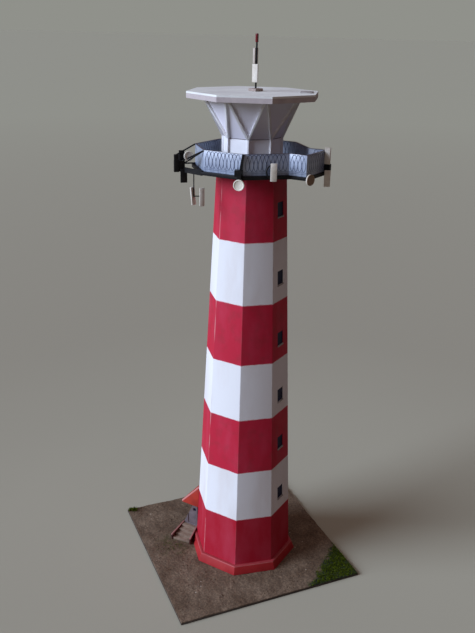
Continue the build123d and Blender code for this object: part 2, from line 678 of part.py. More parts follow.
with BuildPart() as bay_aerials:
    with Locations(BAY_UPPER_AERIAL_CENTRE):
        Box(*BAY_AERIAL_SIZE)
    with Locations(Location(BAY_LOWER_AERIAL_CENTRE, (0, 0, BAY_LOWER_AERIAL_TURN))):
        Box(*BAY_AERIAL_SIZE)
write_step(bay_aerials, "bay_aerials")

with BuildPart() as bay_pole:
    with BuildSketch(Plane.XY.offset(BAY_POLE_LEVELS[0])):
        with Locations(BAY_POLE_PLACE):
            Circle(BAY_POLE_RADIUS)
    extrude(amount=BAY_POLE_LEVELS[1] - BAY_POLE_LEVELS[0])
    with Locations((BAY_REACH, BAY_POLE_PLACE[1], BAY_CLAMP_LEVEL)):
        Box(*BAY_CLAMP_SIZE, align=(Align.MIN, Align.CENTER, Align.CENTER))
    add(bay_aerials.part, mode=Mode.SUBTRACT)
write_step(bay_pole, "bay_pole")

# --------------------------------------------------- frame with black aerials
frame_plane = Plane(origin=(0, 0, 0), x_dir=around(1, -135, 0), z_dir=(0, 0, 1))
rail_near = around(PARAPET_RADIUS, -112.5, PARAPET_TOP - FRAME_WIRE_RADIUS)
rail_far = around(PARAPET_RADIUS, -157.5, PARAPET_TOP - FRAME_WIRE_RADIUS)
deck_near = around(FLOOR_RADIUS - 1, -112.5, SHAFT_HEAD + FLOOR_THICKNESS / 2)
deck_far = around(PARAPET_RADIUS, -157.5, GALLERY_LEVEL + FRAME_WIRE_RADIUS)
frame_wires = zip((rail_far, rail_near, rail_near, deck_far), FRAME_WIRE_ENDS)
gallery_blocks = (
    (PARAPET_RADIUS, GALLERY_LEVEL, PARAPET_HEIGHT),
    (FLOOR_RADIUS, SHAFT_HEAD, FLOOR_THICKNESS),
)
with BuildPart() as frame_aerials:
    for centre, size in FRAME_AERIALS:
        with Locations(frame_plane.location * Location(centre)):
            Box(*size)
write_step(frame_aerials, "frame_aerials")

with BuildPart() as frame_dish:
    with Locations(frame_plane.location * Location(FRAME_DISH_CENTRE, (90, 0, 0))):
        Cylinder(FRAME_DISH_RADIUS, FRAME_DISH_THICKNESS)
    chamfer(frame_dish.edges().filter_by(GeomType.CIRCLE), DISH_CHAMFER)
write_step(frame_dish, "frame_dish")

with BuildPart() as aerial_frame:
    with Locations(frame_plane.location * Location(FRAME_BOX_CENTRE)):
        Box(*FRAME_BOX_SIZE)
    for start, end in frame_wires:
        reach = frame_plane.from_local_coords(end) - start
        with BuildSketch(Plane(origin=start, z_dir=reach)):
            Circle(FRAME_WIRE_RADIUS)
        extrude(amount=reach.length)
    reach = frame_plane.from_local_coords(FRAME_BEAM_END) - deck_near
    with BuildSketch(Plane(origin=deck_near, x_dir=(0, 0, 1), z_dir=(reach.X, reach.Y, 0))):
        Rectangle(*FRAME_BEAM_SIZE)
    extrude(amount=reach.length)
    for size, low, height in gallery_blocks:
        with BuildSketch(Plane.XY.offset(low)):
            RegularPolygon(size, SIDES, rotation=HALF_SIDE_ANGLE)
        extrude(amount=height, mode=Mode.SUBTRACT)
    add(frame_aerials.part, mode=Mode.SUBTRACT)
    add(frame_dish.part, mode=Mode.SUBTRACT)
write_step(aerial_frame, "aerial_frame")

# ------------------------------------------------------------ hanging aerials
first_turn, second_turn = (Location((0, 0, 0), (0, 0, turn)) for turn in HANGING_AERIAL_TURNS)
rod_x, rod_y = HANGING_ROD_PLACE
span_x, span_y = HANGING_SPAN
hanging_offset = HANGING_ROD_RADIUS + HANGING_AERIAL_SIZE[0] / 2
first_centre = Location((rod_x, rod_y, HANGING_LEVEL)) * first_turn * Location((-hanging_offset, 0, 0))
second_centre = Location((rod_x + span_x, rod_y + span_y, HANGING_LEVEL - HANGING_DROP)) * second_turn
with BuildPart() as hanging_aerials:
    with Locations(first_centre * Location((0, 0, 0), (HANGING_AERIAL_LEAN, 0, 0))):
        Box(*HANGING_AERIAL_SIZE)
    with Locations(second_centre):
        Box(*HANGING_AERIAL_SIZE)
write_step(hanging_aerials, "hanging_aerials")

with BuildPart() as hanging_rod:
    with BuildSketch(Plane.XY.offset(HANGING_ROD_LEVELS[0])):
        with Locations(HANGING_ROD_PLACE):
            Circle(HANGING_ROD_RADIUS)
    extrude(amount=HANGING_ROD_LEVELS[1] - HANGING_ROD_LEVELS[0])
    with BuildSketch(Plane(origin=(rod_x, rod_y, HANGING_LEVEL), z_dir=(span_x, span_y, 0))):
        Circle(HANGING_ROD_RADIUS)
    extrude(amount=hypot(span_x, span_y))
    add(hanging_aerials.part, mode=Mode.SUBTRACT)
    add(aerial_frame.part, mode=Mode.SUBTRACT)
write_step(hanging_rod, "hanging_rod")
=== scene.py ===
"""Dresses the card model of a banded lighthouse on its scenic board, and lights it.

Every length is in metres, written as millimetres times MM. +Z is up, the tower's
axis is the Z axis, and the steps run down from the porch towards -Y.
"""

import random
from math import atan2, cos, hypot, pi, radians, sin

import bpy
from bpy.props import FloatProperty, FloatVectorProperty, IntProperty, PointerProperty
from mathutils import Matrix, Quaternion, Vector


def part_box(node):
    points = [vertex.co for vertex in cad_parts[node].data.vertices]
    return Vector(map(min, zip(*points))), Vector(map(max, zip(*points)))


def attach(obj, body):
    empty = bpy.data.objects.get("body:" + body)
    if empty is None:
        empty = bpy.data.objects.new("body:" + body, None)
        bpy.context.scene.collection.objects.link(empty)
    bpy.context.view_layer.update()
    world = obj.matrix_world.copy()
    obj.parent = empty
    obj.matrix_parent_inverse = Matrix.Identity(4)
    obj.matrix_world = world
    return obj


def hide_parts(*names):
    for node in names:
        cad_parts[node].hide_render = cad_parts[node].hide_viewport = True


bl_info = {
    "name": "Card lighthouse",
    "version": (1, 0, 0),
    "blender": (4, 5, 0),
    "location": "View3D > Sidebar > Lighthouse",
    "description": "Dresses the card model of a banded lighthouse and its scenic board",
    "category": "Add Mesh",
}

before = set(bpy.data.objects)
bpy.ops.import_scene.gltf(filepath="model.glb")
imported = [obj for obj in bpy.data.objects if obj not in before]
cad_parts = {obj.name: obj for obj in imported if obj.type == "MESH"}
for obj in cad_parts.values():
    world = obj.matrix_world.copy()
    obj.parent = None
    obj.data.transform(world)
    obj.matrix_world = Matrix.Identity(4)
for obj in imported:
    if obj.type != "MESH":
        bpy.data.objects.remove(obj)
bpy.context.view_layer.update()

MM = 0.001
SIDES = 8
SIDE_TURN = 2 * pi / SIDES
HALF_TURN = pi / SIDES
FLAT_SHARE = cos(HALF_TURN)

# Shaft, read from the frame's bands
BANDS = [f"shaft_band_{number}" for number in range(1, 8)]
BAND_TOPS = [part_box(band)[1].z for band in BANDS[:-1]]
BAND_CARD = 1.0 * MM
SHAFT_FOOT, SHAFT_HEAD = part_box(BANDS[0])[0].z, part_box(BANDS[-1])[0].z
SHAFT_FOOT_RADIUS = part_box(BANDS[0])[1].x / FLAT_SHARE
SHAFT_TAPER = (SHAFT_FOOT_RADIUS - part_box(BANDS[-1])[1].x / FLAT_SHARE) / (SHAFT_HEAD - SHAFT_FOOT)
# The fold toward the window, whose pale line is a painted highlight as well as wear
FOLD_HIGHLIGHT_SIDE = radians(-112.5)
WINDOW_SIZE = (5.6 * MM, 7.4 * MM)
WINDOW_SILLS = [level * MM for level in (39.0, 68.9, 95.9, 126.5, 157.8, 190.9)]
SILL_THICKNESS = 0.6 * MM
FILM_THICKNESS = 0.3 * MM
FILM_SETBACK = 0.25 * MM
FILM_BORDER, FILM_DENT = 0.3 * MM, 0.08 * MM

# Board, with its own directions along the edges
BOARD_TURN = radians(-35.9)
BOARD_CENTRE = (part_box("base_board")[0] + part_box("base_board")[1]) / 2
BOARD_SIDE = 100 * MM
BOARD_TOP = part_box("base_board")[1].z
GRASS_ALONG, GRASS_ACROSS = 26.5 * MM, 30 * MM
TUFT_CORNER = (-48.6 * MM, -47.6 * MM)
STEPS_FOOT = (-9 * MM, -34 * MM)
COVER_CELLS = 190
BLADES = 6
# Loose stones keep off the plinth, and off the porch and its steps
PLINTH_CLEARANCE = 29 * MM
PORCH_REACH, PORCH_HALF_WIDTH = -37 * MM, 21 * MM

# Railing card round the gallery; one side has its loops on the inside only
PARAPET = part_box("parapet")
PARAPET_FLAT = PARAPET[1].y
PARAPET_CARD = 0.8 * MM
OVAL_FOOT, OVAL_HEAD = PARAPET[0].z + 2.0 * MM, PARAPET[1].z - 1.4 * MM
ARCH_FOOT, ARCH_HEAD = PARAPET[1].z - 1.9 * MM, PARAPET[1].z - 0.3 * MM
BAR_LEVELS, BAR_HEIGHT = (1.15 * MM, 1.75 * MM), 0.16 * MM
BLANK_SIDE = 5
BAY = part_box("bay_walls")
BAY_DISH_WAY = radians(-16)
BAY_DISH = (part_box("bay_dish")[0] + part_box("bay_dish")[1]) / 2
BAY_DISH_REACH = BAY_DISH.x * cos(BAY_DISH_WAY) + BAY_DISH.y * sin(BAY_DISH_WAY) + 0.03 * MM

# Card fibre is about 0.1 mm; every card draws it at the finest size that shows
CARD_GRAIN = 0.5 * MM

# Rounding of the board's and the dishes' edges
CUT_EDGE = 0.12 * MM

# Stage: the way to the room's window, and a floor whose tone changes over two rings, the middle one
# darker as painted shade
WINDOW_WAY = radians(-130.5)
FLOOR_SIDE = 60
FLOOR_RINGS = {"floor_mid": (0.14, 0.32), "floor_far": (0.36, 2.2)}


def linear(code):
    """A linear RGBA colour from an sRGB hex code."""
    parts = [int(code[start : start + 2], 16) / 255 for start in (1, 3, 5)]
    return tuple(c / 12.92 if c <= 0.04045 else ((c + 0.055) / 1.055) ** 2.4 for c in parts) + (1.0,)


def length(name, about, millimetres):
    """A size that can be set in the sidebar."""
    settings = {"default": millimetres * MM, "min": 0, "subtype": "DISTANCE", "unit": "LENGTH"}
    return FloatProperty(name=name, description=about, **settings)


def colour(name, about, code):
    """A colour that can be set in the sidebar."""
    settings = {"default": linear(code), "size": 4, "min": 0, "max": 1, "subtype": "COLOR"}
    return FloatVectorProperty(name=name, description=about, **settings)


def position(name, about, *point):
    """A position that can be set in the sidebar."""
    settings = {"default": point, "subtype": "XYZ", "unit": "LENGTH"}
    return FloatVectorProperty(name=name, description=about, **settings)


def strength(name, about, power):
    """A strength of light that can be set in the sidebar."""
    return FloatProperty(name=name, description=about, default=power, min=0)


class LIGHTHOUSE_PG_sizes(bpy.types.PropertyGroup):
    """Sizes that a maker would change."""

    fold: length("Fold", "Radius of a fold in the card", 0.22)
    trim: length("Trim", "Rounding of a cut card edge", 0.13)
    board: length("Board", "Thickness of the plain board under the ground cover", 0.95)
    lump: length("Lump", "Height of the ground cover's lumps", 0.55)
    grit: length("Grit", "Height of the ground cover's grit", 0.4)
    stone: length("Stone", "Radius of a loose stone", 0.34)
    blade: length("Blade", "Height of a blade of grass", 1.5)
    oval_pitch: length("Oval pitch", "Distance between two ovals of the railing", 1.9)
    oval_line: length("Oval line", "Width of the railing's lines", 0.22)
    line_proud: length("Line height", "How far the railing's lines stand off the card", 0.05)
    dish_lip: length("Dish lip", "Width of the lip round a dish", 0.35)
    stones: IntProperty(name="Stones", description="Number of loose stones", default=520, min=0)
    tufts: IntProperty(name="Tufts", description="Grass tufts in the corner", default=620, min=0)


class LIGHTHOUSE_PG_colours(bpy.types.PropertyGroup):
    """Colours that a maker would change."""

    red: colour("Red", "Red paint of the bands", "#BE1C39")
    red_faded: colour("Faded red", "Where the red paint has rubbed thin", "#C4354F")
    plinth: colour("Plinth red", "Paint of the plinth", "#9E1E22")
    porch: colour("Porch red", "Paint of the porch", "#B5331F")
    white: colour("White", "White card", "#EEEFF0")
    # This tone is also the painted highlight along the folds toward the window
    white_aged: colour("Aged white", "Where the white card has yellowed", "#E0DBD8")
    wear: colour("Wear", "Bare card along a rubbed fold", "#D79A98")
    railing: colour("Railing card", "Pale blue card of the railing", "#9EADC4")
    ink: colour("Railing lines", "Lines of the railing", "#414C68")
    black: colour("Black", "Black paint", "#08080A")
    cream: colour("Cream", "Card of the aerials and dishes", "#E2DCCF")
    glass: colour("Window", "Dark window sheet", "#151330")
    earth: colour("Earth", "Ground cover", "#6C5742")
    earth_pale: colour("Pale earth", "Dry patches of the ground cover", "#88745E")
    grass: colour("Grass", "Grass fibres", "#3A460D")
    grass_pale: colour("Pale grass", "Tips of the grass", "#5A6712")
    lamp: colour("Lamp", "Red lamp on the mast", "#760A1C")
    floor: colour("Floor", "Studio floor near the model", "#B3B09C")
    # Darker than the near and far floor: painted shade
    floor_mid: colour("Middle floor", "Studio floor behind the model", "#A9A592")
    floor_far: colour("Far floor", "Studio floor far from the model", "#B4B49E")


class LIGHTHOUSE_PG_stage(bpy.types.PropertyGroup):
    """Camera and lights."""

    camera_place: position("Camera", "Where the camera stands", 0.17825, -0.30687, 0.27282)
    camera_aim: position("Aim", "What the camera looks at", 0.0, -0.0101, 0.1410)
    camera_roll: FloatProperty(
        name="Roll", description="Tilt of the camera", default=radians(1.16), subtype="ANGLE"
    )
    lens: FloatProperty(
        name="Lens", description="Focal length in millimetres", default=42.93, unit="CAMERA"
    )
    key: strength("Window light", "Strength of the light from the window", 4.25)
    fill: strength("Ceiling light", "Strength of the light from above", 0.32)
    ambient: strength("Ambient", "Strength of the light from all round", 0.95)


def sizes():
    """The sizes of the sidebar."""
    return bpy.context.scene.lighthouse_sizes


def tint(name):
    """A colour as plain numbers, from its hex code or from its name in the sidebar."""
    if name.startswith("#"):
        return linear(name)
    return tuple(getattr(bpy.context.scene.lighthouse_colours, name))


# ------------------------------------------------------------------ modelling


def alone(piece=None):
    """Select one piece only, or nothing, in object mode."""
    if bpy.context.object and bpy.context.object.mode != "OBJECT":
        bpy.ops.object.mode_set(mode="OBJECT")
    bpy.ops.object.select_all(action="DESELECT")
    if piece:
        bpy.context.view_layer.objects.active = piece
        piece.select_set(True)


def begin(name, operator, **settings):
    """Add a primitive on its own, name it and put its place in its mesh."""
    alone()
    operator(**settings)
    bpy.ops.object.transform_apply(location=True, rotation=True, scale=True)
    piece = bpy.context.object
    piece.name = name
    piece.data.name = name
    return piece


def pick(piece, kind, test=lambda place, way: True):
    """Go to edit mode with only the chosen faces, corners or edges selected."""
    alone(piece)
    bpy.ops.object.mode_set(mode="EDIT")
    bpy.ops.mesh.select_mode(type=kind)
    bpy.ops.mesh.select_all(action="DESELECT")
    bpy.ops.object.mode_set(mode="OBJECT")
    mesh = piece.data
    if kind == "FACE":
        for face in mesh.polygons:
            face.select = test(face.center, face.normal)
    elif kind == "VERT":
        for vertex in mesh.vertices:
            vertex.select = test(vertex.co, vertex.normal)
    else:
        for edge in mesh.edges:
            start, end = (mesh.vertices[index].co for index in edge.vertices)
            edge.select = test((start + end) / 2, (end - start).normalized())
    bpy.ops.object.mode_set(mode="EDIT")


def shaped(piece, kind, **settings):
    """Give a piece a modifier and apply it."""
    alone(piece)
    modifier = piece.modifiers.new(kind.title(), kind)
    for name, value in settings.items():
        setattr(modifier, name, value)
    bpy.ops.object.modifier_apply(modifier=modifier.name)


def copied(piece, place):
    """A copy of a piece, with its own mesh moved by a matrix."""
    twin = bpy.data.objects.new(piece.name, piece.data.copy())
    twin.data.transform(place)
    bpy.context.scene.collection.objects.link(twin)
    return twin


def spin(angle, axis="Z"):
    """A turn about an axis."""
    return Matrix.Rotation(angle, 4, axis)


def set_down(piece, place, turn, size):
    """A copy of a small piece, scaled, turned and put in its place."""
    return copied(piece, Matrix.Translation(place) @ turn @ Matrix.Scale(size, 4))


def joined(pieces, name):
    """Many pieces made one."""
    alone(pieces[0])
    for piece in pieces[1:]:
        piece.select_set(True)
    bpy.ops.object.join()
    pieces[0].name = name
    pieces[0].data.name = name
    return pieces[0]


def settle(piece, finish, replaces=(), smooth=30):
    """Put a finished piece's place in its mesh, paint it and fix it to the model."""
    alone(piece)
    bpy.ops.object.transform_apply(location=True, rotation=True, scale=True)
    bpy.ops.object.shade_smooth_by_angle(angle=radians(smooth))
    piece.data.materials.clear()
    piece.data.materials.append(MATERIALS[finish])
    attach(piece, "root")
    if replaces:
        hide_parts(*replaces)


def trimmed(node, finish, width, segments=2):
    """Stand in for a carried-over part with a copy whose cut edges are slightly rounded."""
    piece = bpy.data.objects.new(f"{node}_card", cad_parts[node].data.copy())
    bpy.context.scene.collection.objects.link(piece)
    alone(piece)
    bpy.ops.object.mode_set(mode="EDIT")
    bpy.ops.mesh.select_all(action="SELECT")
    bpy.ops.mesh.remove_doubles(threshold=0.001 * MM)
    bpy.ops.mesh.dissolve_limited(angle_limit=radians(1))
    limit = {"limit_method": "ANGLE", "angle_limit": radians(30)}
    shaped(piece, "BEVEL", width=width, segments=segments, **limit)
    settle(piece, finish, [node])


def painted(node, finish):
    """Give a carried-over part its material."""
    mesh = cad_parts[node].data
    mesh.materials.clear()
    mesh.materials.append(MATERIALS[finish])


def toward(angle, distance, level=0.0):
    """A point at a distance from the axis, in a direction and at a level."""
    return Vector((distance * cos(angle), distance * sin(angle), level))


def shaft_radius(level):
    """Corner radius of the tapering shaft at a level."""
    return SHAFT_FOOT_RADIUS - SHAFT_TAPER * (level - SHAFT_FOOT)


def on_board(along, across, level=0.0):
    """A point of the model from its place on the turned board."""
    place = Matrix.Rotation(BOARD_TURN, 3, "Z") @ Vector((along, across, 0))
    return Vector((BOARD_CENTRE.x + place.x, BOARD_CENTRE.y + place.y, level))


def grass_share(along, across):
    """Below 1 inside the grassed corner of the board, above 1 outside it."""
    return (BOARD_SIDE / 2 - along) / GRASS_ALONG + (BOARD_SIDE / 2 - across) / GRASS_ACROSS


# ------------------------------------------------------------------ materials


def socket(sockets, key):
    """A socket by its number, or the one in use with a name."""
    if isinstance(key, int):
        return sockets[key]
    return next(socket for socket in sockets if socket.enabled and socket.name == key)


def add_node(tree, kind, links=(), **settings):
    """Add a shader node with its settings and its inputs, as a list in order or by name or number.

    An input is given a number, a socket, a node, or a tint's name or code.
    """
    node = tree.nodes.new("ShaderNode" + kind)
    for name, value in settings.items():
        setattr(node, name, value)
    for key, value in links.items() if isinstance(links, dict) else enumerate(links):
        target = socket(node.inputs, key)
        if isinstance(value, str):
            value = tint(value)
        if isinstance(value, bpy.types.Node):
            value = next(output for output in value.outputs if output.enabled)
        if isinstance(value, bpy.types.NodeSocket):
            tree.links.new(value, target)
        else:
            target.default_value = value
    return node


def new_material(name, **numbers):
    """A material with its tree, its shader and the model's own coordinates."""
    material = bpy.data.materials.new(name)
    material.use_nodes = True
    tree = material.node_tree
    tree.nodes.clear()
    shader = add_node(tree, "BsdfPrincipled", {key.replace("_", " "): numbers[key] for key in numbers})
    add_node(tree, "OutputMaterial", [shader])
    return material, tree, shader, add_node(tree, "TexCoord").outputs["Object"]


def cloud(tree, coords, size, low, high, detail=3.0, squeeze=1.0):
    """Soft patches of a size, as a share from 0 to 1, drawn out upwards where they are squeezed."""
    if squeeze != 1.0:
        coords = add_node(tree, "Mapping", {"Vector": coords, "Scale": (1.0, 1.0, squeeze)}).outputs[0]
    noise = add_node(tree, "TexNoise", {"Vector": coords, "Scale": 1 / size, "Detail": detail})
    return add_node(tree, "MapRange", {"Value": noise, "From Min": low, "From Max": high})


def coated(tree, paint, *coats):
    """A paint under coats of others, each laid on where its share is 1."""
    for share, coat in coats:
        mixed = add_node(tree, "Mix", {0: share, 6: paint, 7: coat}, data_type="RGBA")
        paint = mixed.outputs[2]
    return paint


def surface(tree, shader, paint, coords=None, grain=0.0, height=0.0):
    """Give the shader its paint, and a fine relief with grains of a size."""
    tree.links.new(paint, shader.inputs["Base Color"])
    if coords:
        noise = add_node(tree, "TexNoise", {"Vector": coords, "Scale": 1 / grain, "Detail": 2.0})
        bump = add_node(tree, "Bump", {"Height": noise, "Distance": height, "Strength": 1.0})
        tree.links.new(bump.outputs[0], shader.inputs["Normal"])


def fold_line(tree, coords, width):
    """A share that rises to 1 along the folds of the shaft."""
    x, y, z = add_node(tree, "SeparateXYZ", [coords]).outputs
    angle = add_node(tree, "Math", [y, x], operation="ARCTAN2")
    across = add_node(tree, "Math", [angle, HALF_TURN], operation="PINGPONG")
    side = add_node(tree, "Math", [across], operation="SINE")
    flat = add_node(tree, "CombineXYZ", [x, y])
    reach = add_node(tree, "VectorMath", [flat], operation="LENGTH").outputs["Value"]
    away = add_node(tree, "Math", [side, reach], operation="MULTIPLY")
    half = [z, -SHAFT_TAPER * sin(HALF_TURN), shaft_radius(0) * sin(HALF_TURN)]
    half = add_node(tree, "Math", half, operation="MULTIPLY_ADD")
    gap = add_node(tree, "Math", [half, away], operation="SUBTRACT")
    return add_node(tree, "MapRange", {"Value": gap, "From Min": width, "From Max": 0.35 * width})


def toward_share(tree, coords, angle):
    """A share that is 1 on the side that looks in a direction and low elsewhere."""
    flat = add_node(tree, "VectorMath", [coords, (1.0, 1.0, 0.0)], operation="MULTIPLY")
    way = add_node(tree, "VectorMath", [flat], operation="NORMALIZE")
    near = add_node(tree, "VectorMath", [way, toward(angle, 1)], operation="DOT_PRODUCT")
    rising = {"Value": near.outputs["Value"], "From Min": 0.86, "From Max": 0.99, "To Min": 0.1}
    return add_node(tree, "MapRange", rising)


def past_share(tree, coords, way, reach):
    """A share that is 1 where the surface lies past a reach in a direction."""
    along = add_node(tree, "VectorMath", [coords, way], operation="DOT_PRODUCT")
    return add_node(tree, "Math", [along.outputs["Value"], reach], operation="GREATER_THAN")


def level_line(tree, coords, levels, width):
    """A share that rises to 1 along a few levels."""
    z = add_node(tree, "SeparateXYZ", [coords]).outputs[2]
    share = 0.0
    for level in levels:
        near = add_node(tree, "Math", [z, level, width], operation="COMPARE")
        share = add_node(tree, "Math", [share, near], operation="MAXIMUM")
    return share


def patchy(tree, coords, share, size, low, high):
    """A share broken up by patches, as rubbed paint is."""
    patches = cloud(tree, coords, size, low, high)
    return add_node(tree, "Math", [share, patches], operation="MULTIPLY")


def red_paint(tree, shader, coords):
    """Poster paint brushed on card: matt, rubbed pink in patches, at the band edges and faintly along
    the folds, and pale along the folds toward the window as a painted highlight.
    """
    worn = cloud(tree, coords, 9 * MM, 0.44, 0.8, 5.0, squeeze=0.35)
    dull = cloud(tree, coords, 5 * MM, 0.48, 0.8, 6.0)
    dull = add_node(tree, "Math", [dull, 0.45], operation="MULTIPLY")
    # The lowest band is a deeper red
    deep = coated(tree, "#AC112A", (worn, "#B8364A"))
    z = add_node(tree, "SeparateXYZ", [coords]).outputs[2]
    low = add_node(tree, "Math", [z, BAND_TOPS[0]], operation="LESS_THAN")
    rubbed = patchy(tree, coords, fold_line(tree, coords, 0.5 * MM), 10 * MM, 0.4, 0.68)
    # The pale fold line is full only on the side toward the window: a painted highlight there, faint
    # wear elsewhere
    fold_wear_and_highlight = [rubbed, toward_share(tree, coords, FOLD_HIGHLIGHT_SIDE)]
    fold_wear_and_highlight = add_node(tree, "Math", fold_wear_and_highlight, operation="MULTIPLY")
    frayed = patchy(tree, coords, level_line(tree, coords, BAND_TOPS, 0.2 * MM), 4 * MM, 0.35, 0.75)
    wear = add_node(tree, "Math", [fold_wear_and_highlight, frayed], operation="MAXIMUM")
    paint = coated(tree, "red", (worn, "red_faded"), (dull, "#8C2F35"), (low, deep), (wear, "wear"))
    surface(tree, shader, paint, coords, CARD_GRAIN, 0.03 * MM)


def plinth_paint(tree, shader, coords):
    """Orange-red poster paint on card: matt, rubbed pink along the plinth's top edge, and its top face
    painted paler as a painted highlight from above.
    """
    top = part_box("plinth")[1].z
    patches = cloud(tree, coords, 7 * MM, 0.4, 0.75, 4.0)
    edge = level_line(tree, coords, [top - 0.3 * MM], 0.22 * MM)
    rubbed = patchy(tree, coords, edge, 12 * MM, 0.3, 0.75)
    # The top face is painted paler: a painted highlight where light falls from above
    painted_lit_ledge = past_share(tree, coords, (0, 0, 1), top - 0.15 * MM)
    paint = coated(tree, "plinth", (patches, "#AC2C2E"), (rubbed, "#C2716E"), (painted_lit_ledge, "#AA4046"))
    # Brush marks of about 0.6 mm
    surface(tree, shader, paint, coords, 0.6 * MM, 0.05 * MM)


def white_card(tree, shader, coords):
    """Smooth white card: matt, with faint yellowed patches and greyed folds."""
    aged = cloud(tree, coords, 11 * MM, 0.45, 0.8, 4.0, squeeze=0.3)
    greyed = patchy(tree, coords, fold_line(tree, coords, 0.3 * MM), 9 * MM, 0.45, 0.95)
    bled = patchy(tree, coords, level_line(tree, coords, BAND_TOPS, 0.3 * MM), 2.5 * MM, 0.35, 0.7)
    card = coated(tree, "white", (aged, "white_aged"), (greyed, "#B9B6BC"), (bled, "#DDA3AE"))
    surface(tree, shader, card, coords, CARD_GRAIN, 0.02 * MM)


def lantern_card(tree, shader, coords):
    """White card of the lantern: matt, greyer on the cone, with a dark joint above the drum."""
    aged = cloud(tree, coords, 7 * MM, 0.4, 0.75, 4.0)
    drum_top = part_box("lantern_drum")[1].z
    cone = past_share(tree, coords, (0, 0, 1), drum_top)
    joint = level_line(tree, coords, [drum_top], 0.16 * MM)
    card = coated(tree, "white", (aged, "#E4E1E4"), (cone, "#E9E7F1"), (joint, "#6B6068"))
    surface(tree, shader, card, coords, CARD_GRAIN, 0.02 * MM)


def plain_card(tree, shader, coords, base, second, patch, face=None):
    """Painted or printed card: matt, mottled, with another tone past a reach in one direction."""
    coats = [(cloud(tree, coords, patch, 0.35, 0.7, 4.0), second)]
    if face:
        tone, way, reach = face
        coats.append((past_share(tree, coords, way, reach), tone))
    surface(tree, shader, coated(tree, base, *coats), coords, CARD_GRAIN, 0.03 * MM)


def railing_card(tree, shader, coords):
    """Glossy printed card: pale blue, with faint upright streaks and a dark cut edge."""
    # Printed streaks are finer than shows; they are drawn 0.8 mm wide
    streak = cloud(tree, coords, 0.8 * MM, 0.4, 0.7, 1.0, squeeze=0.08)
    z = add_node(tree, "SeparateXYZ", [coords]).outputs[2]
    top = PARAPET[1].z
    edge = {"Value": z, "From Min": top - 0.35 * MM, "From Max": top - 0.2 * MM}
    edge = add_node(tree, "MapRange", edge)
    surface(tree, shader, coated(tree, "railing", (streak, "#7F8CA6"), (edge, "#33384A")))


def earth(tree, shader, coords):
    """Sifted sand glued to the board and stained: rough, brown and speckled, green in one corner."""
    board = Matrix.Rotation(-BOARD_TURN, 3, "Z")
    shift = board @ Vector((BOARD_CENTRE.x, BOARD_CENTRE.y, 0))
    flat = {"Vector": coords, "Location": -shift, "Rotation": (0, 0, -BOARD_TURN)}
    flat = add_node(tree, "Mapping", flat).outputs[0]
    patches = cloud(tree, flat, 14 * MM, 0.38, 0.66, 5.0)
    # Sand grains are about 0.3 mm; they are drawn at 0.9 mm to show
    grit = cloud(tree, flat, 0.9 * MM, 0.42, 0.62, 2.0)
    soil = coated(tree, "earth", (patches, "earth_pale"))
    shaded = coated(tree, soil, (0.45, "#2E241E"))
    # One grain in fifty is pale, drawn a fifth of a 1.7 mm cell in radius
    speck = add_node(tree, "TexVoronoi", {"Vector": flat, "Scale": 1 / (1.7 * MM)})
    chosen = add_node(tree, "SeparateColor", [speck.outputs["Color"]]).outputs[0]
    small = add_node(tree, "Math", [speck.outputs["Distance"], 0.2], operation="LESS_THAN")
    rare = add_node(tree, "Math", [chosen, 0.98], operation="GREATER_THAN")
    pale = add_node(tree, "Math", [small, rare], operation="MULTIPLY")
    # Moss where the steps meet the ground
    apart = [flat, (*STEPS_FOOT, BOARD_TOP)]
    apart = add_node(tree, "VectorMath", apart, operation="DISTANCE").outputs["Value"]
    near = add_node(tree, "MapRange", {"Value": apart, "From Min": 13 * MM, "From Max": 3 * MM})
    moss = patchy(tree, flat, near, 3 * MM, 0.42, 0.6)
    # The grassed corner, with a ragged edge
    x, y = add_node(tree, "SeparateXYZ", [flat]).outputs[:2]
    both = 0.0
    for place, spread in ((x, GRASS_ALONG), (y, GRASS_ACROSS)):
        share = [place, -1 / spread, 0.5 * BOARD_SIDE / spread]
        share = add_node(tree, "Math", share, operation="MULTIPLY_ADD")
        both = add_node(tree, "Math", [both, share], operation="ADD")
    ragged = add_node(tree, "TexNoise", {"Vector": flat, "Scale": 1 / (3 * MM), "Detail": 3.0})
    edge = add_node(tree, "Math", [ragged, 0.5, both], operation="MULTIPLY_ADD")
    green = add_node(tree, "MapRange", {"Value": edge, "From Min": 1.3, "From Max": 1.16})
    turf = coated(tree, "#16240A", (grit, "grass"))
    ground = coated(tree, shaded, (grit, soil), (pale, "#B5AB9A"), (moss, "#47431F"), (green, turf))
    surface(tree, shader, ground, flat, 0.45 * MM, 0.25 * MM)


def grass(tree, shader, coords):
    """Dyed fibre flock: dull green, with paler yellow-green tips here and there."""
    # The fibres differ from tuft to tuft, over one to two millimetres
    tips = cloud(tree, coords, 1.6 * MM, 0.36, 0.66, 2.0)
    rare = cloud(tree, coords, 1.1 * MM, 0.66, 0.72, 1.0)
    surface(tree, shader, coated(tree, "grass", (tips, "grass_pale"), (rare, "#7F8A30")))


def glass(tree, shader, coords):
    """Dark printed film behind the window openings: smooth, slightly glossy, faintly clouded."""
    film = coated(tree, "glass", (cloud(tree, coords, 3 * MM, 0.4, 0.75, 2.0), "#1F2342"))
    # Slow waves of 1.5 mm, as a glued film has
    surface(tree, shader, film, coords, 1.5 * MM, 0.02 * MM)


def black_paint(tree, shader, coords):
    """Black enamel on card and wire: a low sheen, with brush marks and dust."""
    paint = coated(tree, "black", (cloud(tree, coords, 2.2 * MM, 0.45, 0.8, 3.0), "#1C1817"))
    # Brush marks of about 0.7 mm
    surface(tree, shader, paint, coords, 0.7 * MM, 0.05 * MM)


def lamp(tree, shader, coords):
    """Clear red lacquer on a bead: glossy, darker where it pooled."""
    pooled = cloud(tree, coords, 1.2 * MM, 0.35, 0.7, 2.0)
    surface(tree, shader, coated(tree, "lamp", (pooled, "#5A0A12")))


# Finishes with a function of their own: the material's name and the shader's numbers
POSTER_PAINT = {"Roughness": 0.62, "Specular_IOR_Level": 0.3}
